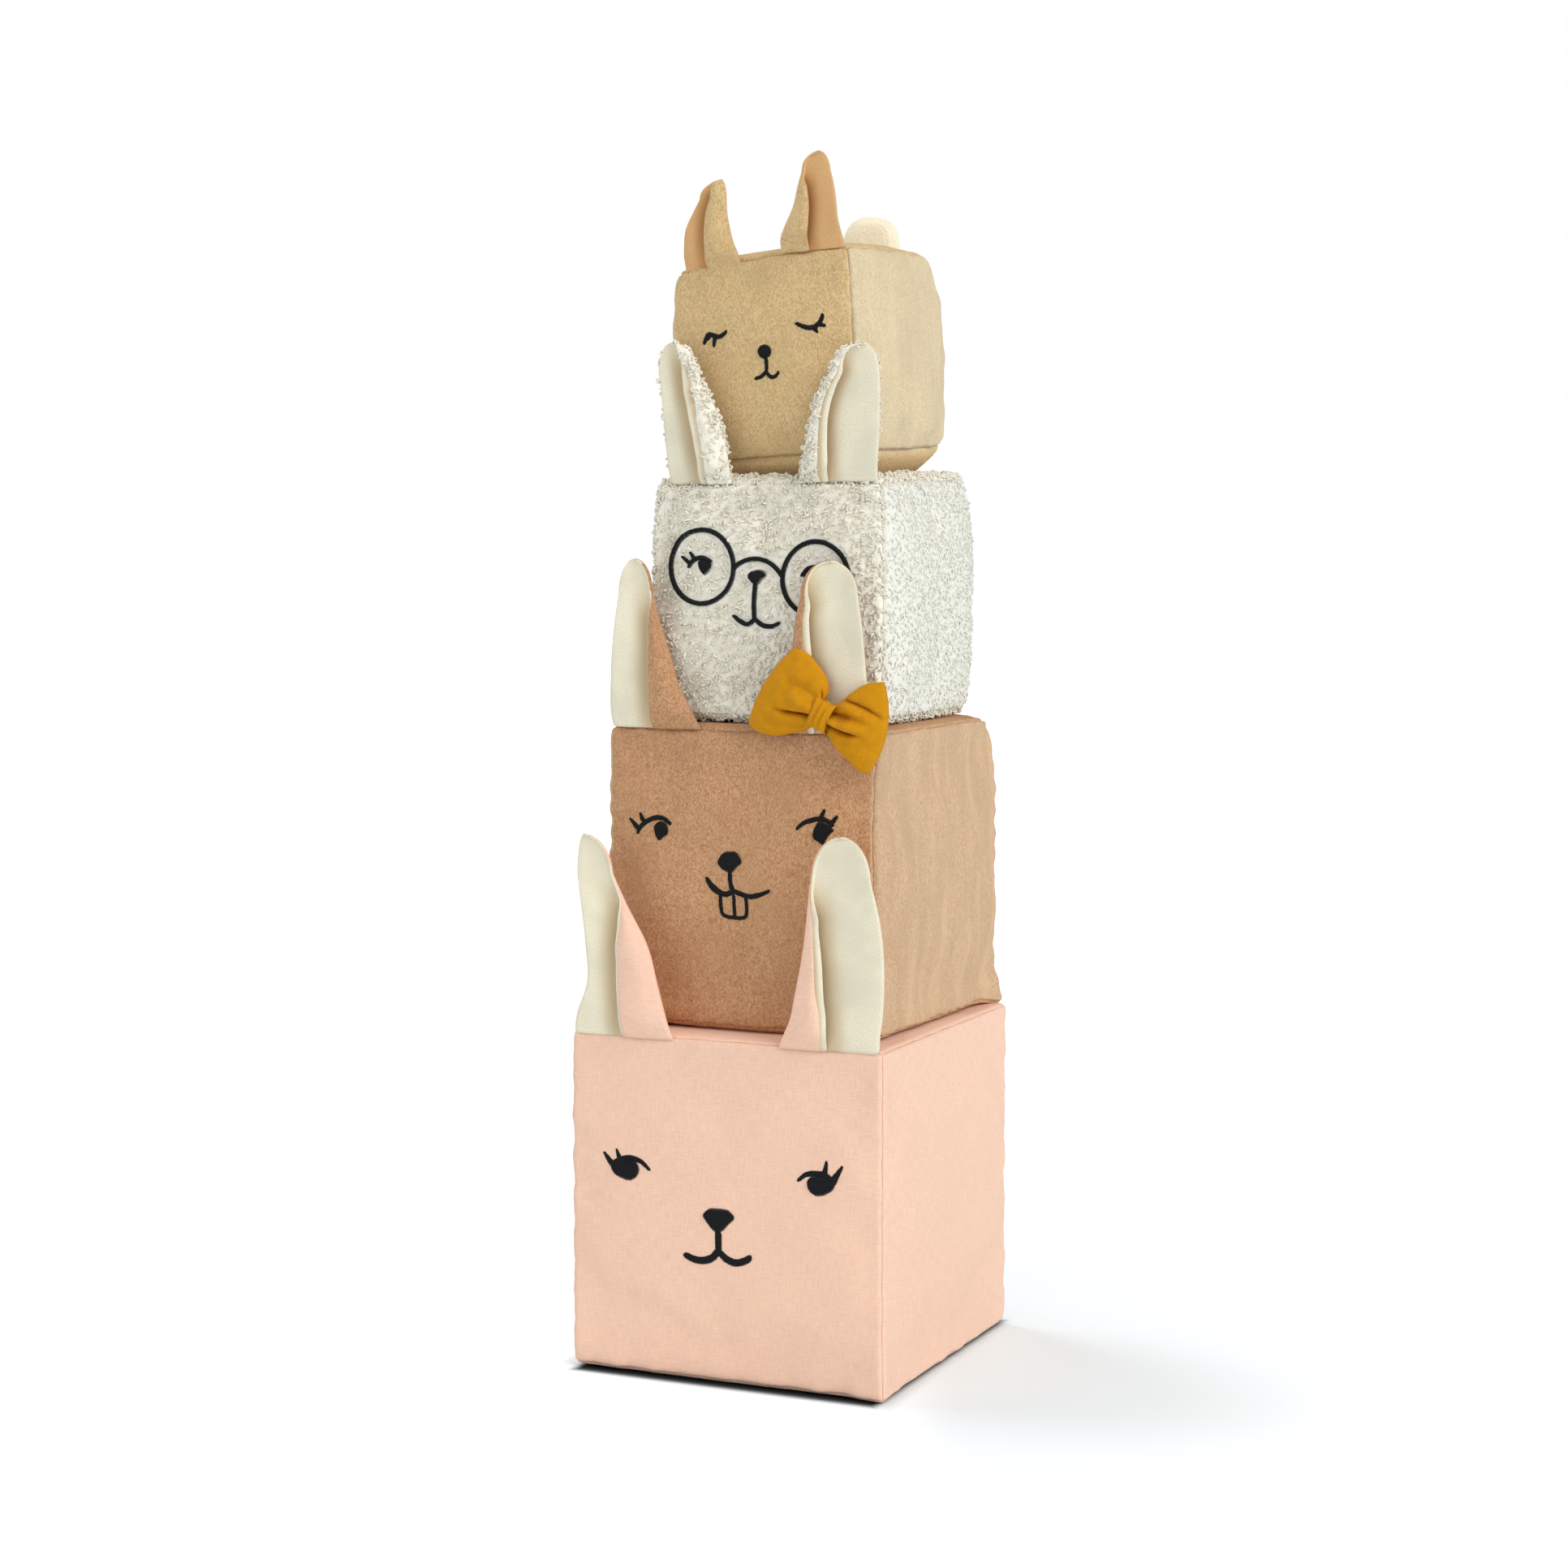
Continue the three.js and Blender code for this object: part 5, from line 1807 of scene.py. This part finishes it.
def crease_depth(way, far, row, half_height):
    """How deep the creases of one wing lie."""
    total = np.zeros(len(far))
    for (first, last), (low, high), depth, width in WINGS[way]["creases"]:
        share = (far - first) / (last - first)
        middle = low + (high - low) * np.clip(share, 0, 1)
        fade = smooth((1 - share) / CREASE_FADE) * smooth((share + CREASE_START) / CREASE_START)
        total += depth * fade * np.exp(-(((row - middle) * half_height / width) ** 2))
    return total


def bow_loops(matrix):
    """The bow's strip, sewn into a flat tube that swells into two wings and gathers at the waist."""
    piece = flat_grid("brown_bow_cloth", BOW_COLUMNS, BOW_ROWS)
    grid = coordinates(piece.data)
    run, around = grid[:, 0], (grid[:, 1] + 1) * math.pi
    far = np.abs(run)
    row = np.cos(around)
    front = np.sin(around) >= -TINY
    places, half_height = np.zeros((len(run), 2)), np.zeros(len(run))
    creases = np.zeros(len(run))
    for way in (-1, 1):
        mine = run < 0 if way < 0 else run >= 0
        places[mine], half_height[mine] = wing_places(way, far[mine], row[mine])
        creases[mine] = crease_depth(way, far[mine], row[mine], half_height[mine])
    round_off = np.abs(np.sin(around)) ** LOOP_EDGE_POWER
    round_off = round_off * np.sqrt(np.clip(1 - far**LOOP_END_POWER, 0, 1))
    swell = WAIST_SWELL + WING_SWELL * np.sin(math.pi * np.minimum(far * SWELL_REACH, 1))
    swell = swell * round_off
    line = np.column_stack([places, far * RIPPLE_OUTWARD])
    ripple = waves(line, RIPPLE_LENGTH, RIPPLE_SEED)
    ripple = ripple * RIPPLE * round_off
    off_ear = BOW_OFF_EAR + WAIST_OFF_EAR * np.exp(-far / WAIST_REACH)
    folded = SWELL_FRONT * swell + ripple - CREASE_DEPTH * creases * round_off
    depth = off_ear + np.where(front, folded, -SWELL_BACK * swell)
    add_map(piece.data, np.column_stack([far * WING_FLAT, around * ROUND_FLAT]) * MM)
    set_coordinates(piece.data, np.column_stack([places[:, 0], -depth, places[:, 1]]))
    turn_outwards(piece, MERGED)
    piece.data.transform(matrix)
    return piece


def bow_knot(matrix):
    """The band round the bow's waist, with folds along it."""
    piece = flat_grid("brown_bow_knot_cloth", KNOT_COLUMNS, KNOT_ROWS)
    grid = coordinates(piece.data)
    across, around = grid[:, 0], (grid[:, 1] + 1) * math.pi
    half_width, half_depth, half_height = KNOT_HALF
    cosine, sine = np.cos(around), np.sin(around)
    up = np.sign(cosine) * np.abs(cosine) ** KNOT_POWER * half_height
    out = np.sign(sine) * np.abs(sine) ** KNOT_POWER * half_depth
    waist = 1 - KNOT_WAIST * sine**2
    fold_depth, fold_pace, fold_drift = KNOT_FOLDS
    edge_depth, edge_power = KNOT_EDGES
    bump_height, bump_pace = KNOT_BUMPS
    folds = fold_depth * np.cos(across * fold_pace + fold_drift * sine) - edge_depth * across**edge_power
    out += np.where(sine > 0, folds, 0) * np.abs(sine)
    up *= 1 + bump_height * np.cos(across * bump_pace)
    lean = math.radians(KNOT_LEAN)
    wide = across * half_width * waist
    x = KNOT_MIDDLE[0] + wide * math.cos(lean) + up * math.sin(lean)
    z = KNOT_MIDDLE[1] - wide * math.sin(lean) + up * math.cos(lean)
    add_map(piece.data, np.column_stack([across * half_width, around * half_height]) * MM)
    set_coordinates(piece.data, np.column_stack([x, -KNOT_MIDDLE_DEPTH - out, z]))
    turn_outwards(piece, MERGED)
    piece.data.transform(matrix)
    return piece


class SOFTBLOCKS_OT_bow(bpy.types.Operator):
    """Make the bow on the brown block's right ear"""

    bl_idname = "softblocks.bow"
    bl_label = "Bow"

    def execute(self, context):
        block = Block("brown")
        matrix = block.ear_matrix("right") @ Matrix.Translation(BOW_PLACE)
        loops = bow_loops(matrix)
        knot = bow_knot(matrix)
        for piece in (loops, knot):
            thicken(piece, BOW_CLOTH * MM)
        dress(loops, "mustard_cotton", "brown_bow_loops")
        dress(knot, "mustard_cotton", "brown_bow_knot")
        for piece in (loops, knot):
            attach(piece, "brown_right_ear")
        return {"FINISHED"}


# Tail

# The tail's middle across and above the block's top edge, its lean backwards and its tilt to the side
TAIL_PLACE = (6, -0.7)
TAIL_LEAN = -6
TAIL_TILT = 8

# Powers that square its outline and fill out its front and back
TAIL_OUTLINE = 3
TAIL_FILL = 0.8
TAIL_EDGE = -0.25

# The seam round its front half: where, how wide and how deep, as shares of its half sizes
TAIL_SEAM = (0.42, 0.07, 0.035)

# The wavelength and the height of its lumps, and the seed of their waves
TAIL_LUMPS = (12, 0.35)
TAIL_SEED = 3

# The mesh of the tail. Its poles lie this close to the middle and aren't squared.
TAIL_SIDES = 48
TAIL_RINGS = 28
TAIL_POLE = 1e-3


class SOFTBLOCKS_OT_tail(bpy.types.Operator):
    """Make the stuffed tail on the back of the top block"""

    bl_idname = "softblocks.tail"
    bl_label = "Tail"

    def execute(self, context):
        block = Block("tan")
        settings = trim()
        half = np.array([settings.tail_width, settings.tail_depth, settings.tail_height]) / MM / 2
        bm = bmesh.new()
        upright = rotation(90, "X")
        bmesh.ops.create_uvsphere(
            bm, u_segments=TAIL_SIDES, v_segments=TAIL_RINGS, radius=1, matrix=upright
        )
        piece = to_object("tan_tail_padding", bm)
        unit = coordinates(piece.data)
        around = np.hypot(unit[:, 0], unit[:, 2])
        outline = np.sum(np.abs(unit[:, [0, 2]]) ** TAIL_OUTLINE, axis=1) ** (1 / TAIL_OUTLINE)
        squared = around / np.maximum(outline, TINY) * np.clip(around, TINY, 1) ** TAIL_EDGE
        stretch = np.where(around > TAIL_POLE, squared, 1)
        points = unit.copy()
        points[:, [0, 2]] *= stretch[:, None]
        points[:, 1] = np.sign(unit[:, 1]) * np.abs(unit[:, 1]) ** TAIL_FILL
        points *= half
        seam_at, seam_width, seam_depth = TAIL_SEAM
        seam = np.exp(-(((np.abs(unit[:, 1]) - seam_at) / seam_width) ** 2))
        points[:, [0, 2]] *= (1 - seam_depth * seam)[:, None]
        wavelength, height = TAIL_LUMPS
        lumps = waves(points, wavelength, TAIL_SEED) * height
        points += vertex_normals(piece.data) * lumps[:, None]
        set_coordinates(piece.data, points)
        across, above = TAIL_PLACE
        top = block.surface(np.array([[across / block.half[0], 1.0, 1.0]]))[0]
        place = (across, block.half[1] + SEAM_GAP + half[1], top[2] + above)
        leaned = rotation(TAIL_LEAN, "X") @ rotation(TAIL_TILT, "Y")
        piece.data.transform(block.matrix @ Matrix.Translation(place) @ leaned)
        turn_outwards(piece)
        dress(piece, "tail_plush", "tan_tail")
        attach(piece, block.body)
        return {"FINISHED"}


# Stage

# The camera of the photograph
LENS = 70.5
SENSOR = 36
CAMERA_PLACE = (600.6, -1338.5, 393.7)
CAMERA_PITCH = 4.684

# Each lamp's name, the way to it, its strength and its angle
SUNS = (
    ("key", (0.8, -0.3, 0.52), 1.75, 40),
    ("top", (-0.62, 0.1, 0.78), 1.1, 34),
    ("front", (-0.25, -0.86, 0.45), 0.4, 60),
)
SKY_STRENGTH = 0.42

# Half the side of the floor in metres, its colour, and the colour of the shadow painted on it at the
# stack's foot. The camera sees the floor as white where no shadow falls.
FLOOR_HALF = 25
PAPER = (0.885, 0.96, 0.99, 1)
FOOT_SHADE = (0.03, 0.032, 0.035, 1)
GLOW = 1.2

# The way, along the floor, to the side where the shadow falls, where it starts and is whole, and where it
# ends and is whole on the way out, in metres from the stack's middle
SHADOW_SIDE = (0.91, 0.41, 0)
SHADOW_START = (0.0, 0.08)
SHADOW_END = (0.42, 0.13)
SHADOW_SHARE = 0.85

# Where the shadow close to the stack ends and is whole, and where the shadow painted at its foot does,
# shifted to one side
NEAR_SHADOW = (0.098, 0.079)
FOOT_EDGE = (0.0885, 0.082)
FOOT_SHIFT = 0.0078


def sky():
    """A soft white light that the camera sees as plain white."""
    studio = Finish(bpy.data.worlds.new("studio"))
    seen = studio.node("ShaderNodeLightPath", output="Is Camera Ray")
    soft = studio.node("ShaderNodeBackground", {"Color": WHITE, "Strength": SKY_STRENGTH})
    plain = studio.node("ShaderNodeBackground", {"Color": WHITE, "Strength": 1})
    both = studio.node("ShaderNodeMixShader", {0: seen, 1: soft, 2: plain})
    studio.node("ShaderNodeOutputWorld", {"Surface": both})
    return studio.owner


def floor_paper():
    """Pale paper that shows the stack's shadow and is white elsewhere."""
    finish = Finish(bpy.data.materials.new("floor_paper"))
    seen = finish.node("ShaderNodeLightPath", output="Is Camera Ray")
    place = finish.body()
    away = finish.node("ShaderNodeVectorMath", {0: place}, "Value", operation="LENGTH")
    inputs = {0: place, 1: SHADOW_SIDE}
    beside = finish.node("ShaderNodeVectorMath", inputs, "Value", operation="DOT_PRODUCT")
    right = finish.spread(beside, *SHADOW_START) * finish.spread(away, *SHADOW_END)
    sides = finish.node("ShaderNodeVectorMath", {0: place}, operation="ABSOLUTE")
    wide = finish.node("ShaderNodeSeparateXYZ", {"Vector": sides}, "X")
    deep = finish.node("ShaderNodeSeparateXYZ", {"Vector": sides}, "Y")
    shadow = (right * SHADOW_SHARE).greater(finish.spread(wide.greater(deep), *NEAR_SHADOW))
    # A dark shadow is painted on the paper at the stack's foot
    painted_foot_shadow = finish.spread((wide + FOOT_SHIFT).greater(deep), *FOOT_EDGE)
    paper = finish.node("ShaderNodeBsdfDiffuse", {"Color": finish.mixed(painted_foot_shadow, PAPER, FOOT_SHADE)})
    glow = finish.node("ShaderNodeEmission", {"Color": WHITE, "Strength": GLOW})
    both = finish.node("ShaderNodeMixShader", {0: seen * (1 - shadow), 1: paper, 2: glow})
    finish.node("ShaderNodeOutputMaterial", {"Surface": both})
    return finish.owner


class SOFTBLOCKS_OT_stage(bpy.types.Operator):
    """Make the camera, the lights, the floor and the background"""

    bl_idname = "softblocks.stage"
    bl_label = "Stage"

    def execute(self, context):
        scene = context.scene
        scene.view_settings.view_transform = "Standard"
        lens = bpy.data.cameras.new("camera")
        lens.lens = LENS
        lens.sensor_width = SENSOR
        lens.clip_start = 0.01
        lens.clip_end = 60
        camera = bpy.data.objects.new("camera", lens)
        camera.location = Vector(CAMERA_PLACE) * MM
        camera.rotation_euler = (math.radians(90 - CAMERA_PITCH), 0, math.radians(CAMERA_YAW))
        scene.collection.objects.link(camera)
        scene.camera = camera
        for name, toward, strength, angle in SUNS:
            lamp = bpy.data.lights.new(name, "SUN")
            lamp.energy = strength
            lamp.angle = math.radians(angle)
            sun = bpy.data.objects.new(name, lamp)
            sun.rotation_euler = Vector(toward).to_track_quat("Z", "Y").to_euler()
            scene.collection.objects.link(sun)
        scene.world = sky()
        floor = flat_grid("floor", 4, 4, FLOOR_HALF)
        floor.data.materials.append(floor_paper())
        return {"FINISHED"}


MAKERS = (
    SOFTBLOCKS_OT_stage,
    SOFTBLOCKS_OT_covers,
    SOFTBLOCKS_OT_ears,
    SOFTBLOCKS_OT_faces,
    SOFTBLOCKS_OT_pile,
    SOFTBLOCKS_OT_bow,
    SOFTBLOCKS_OT_tail,
)


class SOFTBLOCKS_PT_panel(bpy.types.Panel):
    """Settings and makers of the stack of soft blocks"""

    bl_label = "Soft blocks"
    bl_idname = "SOFTBLOCKS_PT_panel"
    bl_space_type = "VIEW_3D"
    bl_region_type = "UI"
    bl_category = "Soft blocks"

    def draw(self, context):
        for name, settings in BLOCK_SETTINGS.items():
            box = self.layout.box()
            box.label(text=name.title() + " block")
            for row in settings.__annotations__:
                box.prop(settings_of(name), row)
        box = self.layout.box()
        box.label(text="Trim")
        for row in TrimSettings.__annotations__:
            box.prop(trim(), row)
        for maker in MAKERS:
            self.layout.operator(maker.bl_idname)


CLASSES = (*BLOCK_SETTINGS.values(), TrimSettings, *MAKERS, SOFTBLOCKS_PT_panel)


def register():
    for item in CLASSES:
        bpy.utils.register_class(item)
    for name, settings in BLOCK_SETTINGS.items():
        setattr(bpy.types.Scene, name + "_block", bpy.props.PointerProperty(type=settings))
    bpy.types.Scene.soft_trim = bpy.props.PointerProperty(type=TrimSettings)


def unregister():
    del bpy.types.Scene.soft_trim
    for name in BLOCK_SETTINGS:
        delattr(bpy.types.Scene, name + "_block")
    for item in reversed(CLASSES):
        bpy.utils.unregister_class(item)


def main():
    register()
    bpy.ops.softblocks.stage()
    bpy.ops.softblocks.covers()
    bpy.ops.softblocks.ears()
    bpy.ops.softblocks.faces()
    bpy.ops.softblocks.pile()
    bpy.ops.softblocks.bow()
    bpy.ops.softblocks.tail()


if __name__ == "__main__":
    main()
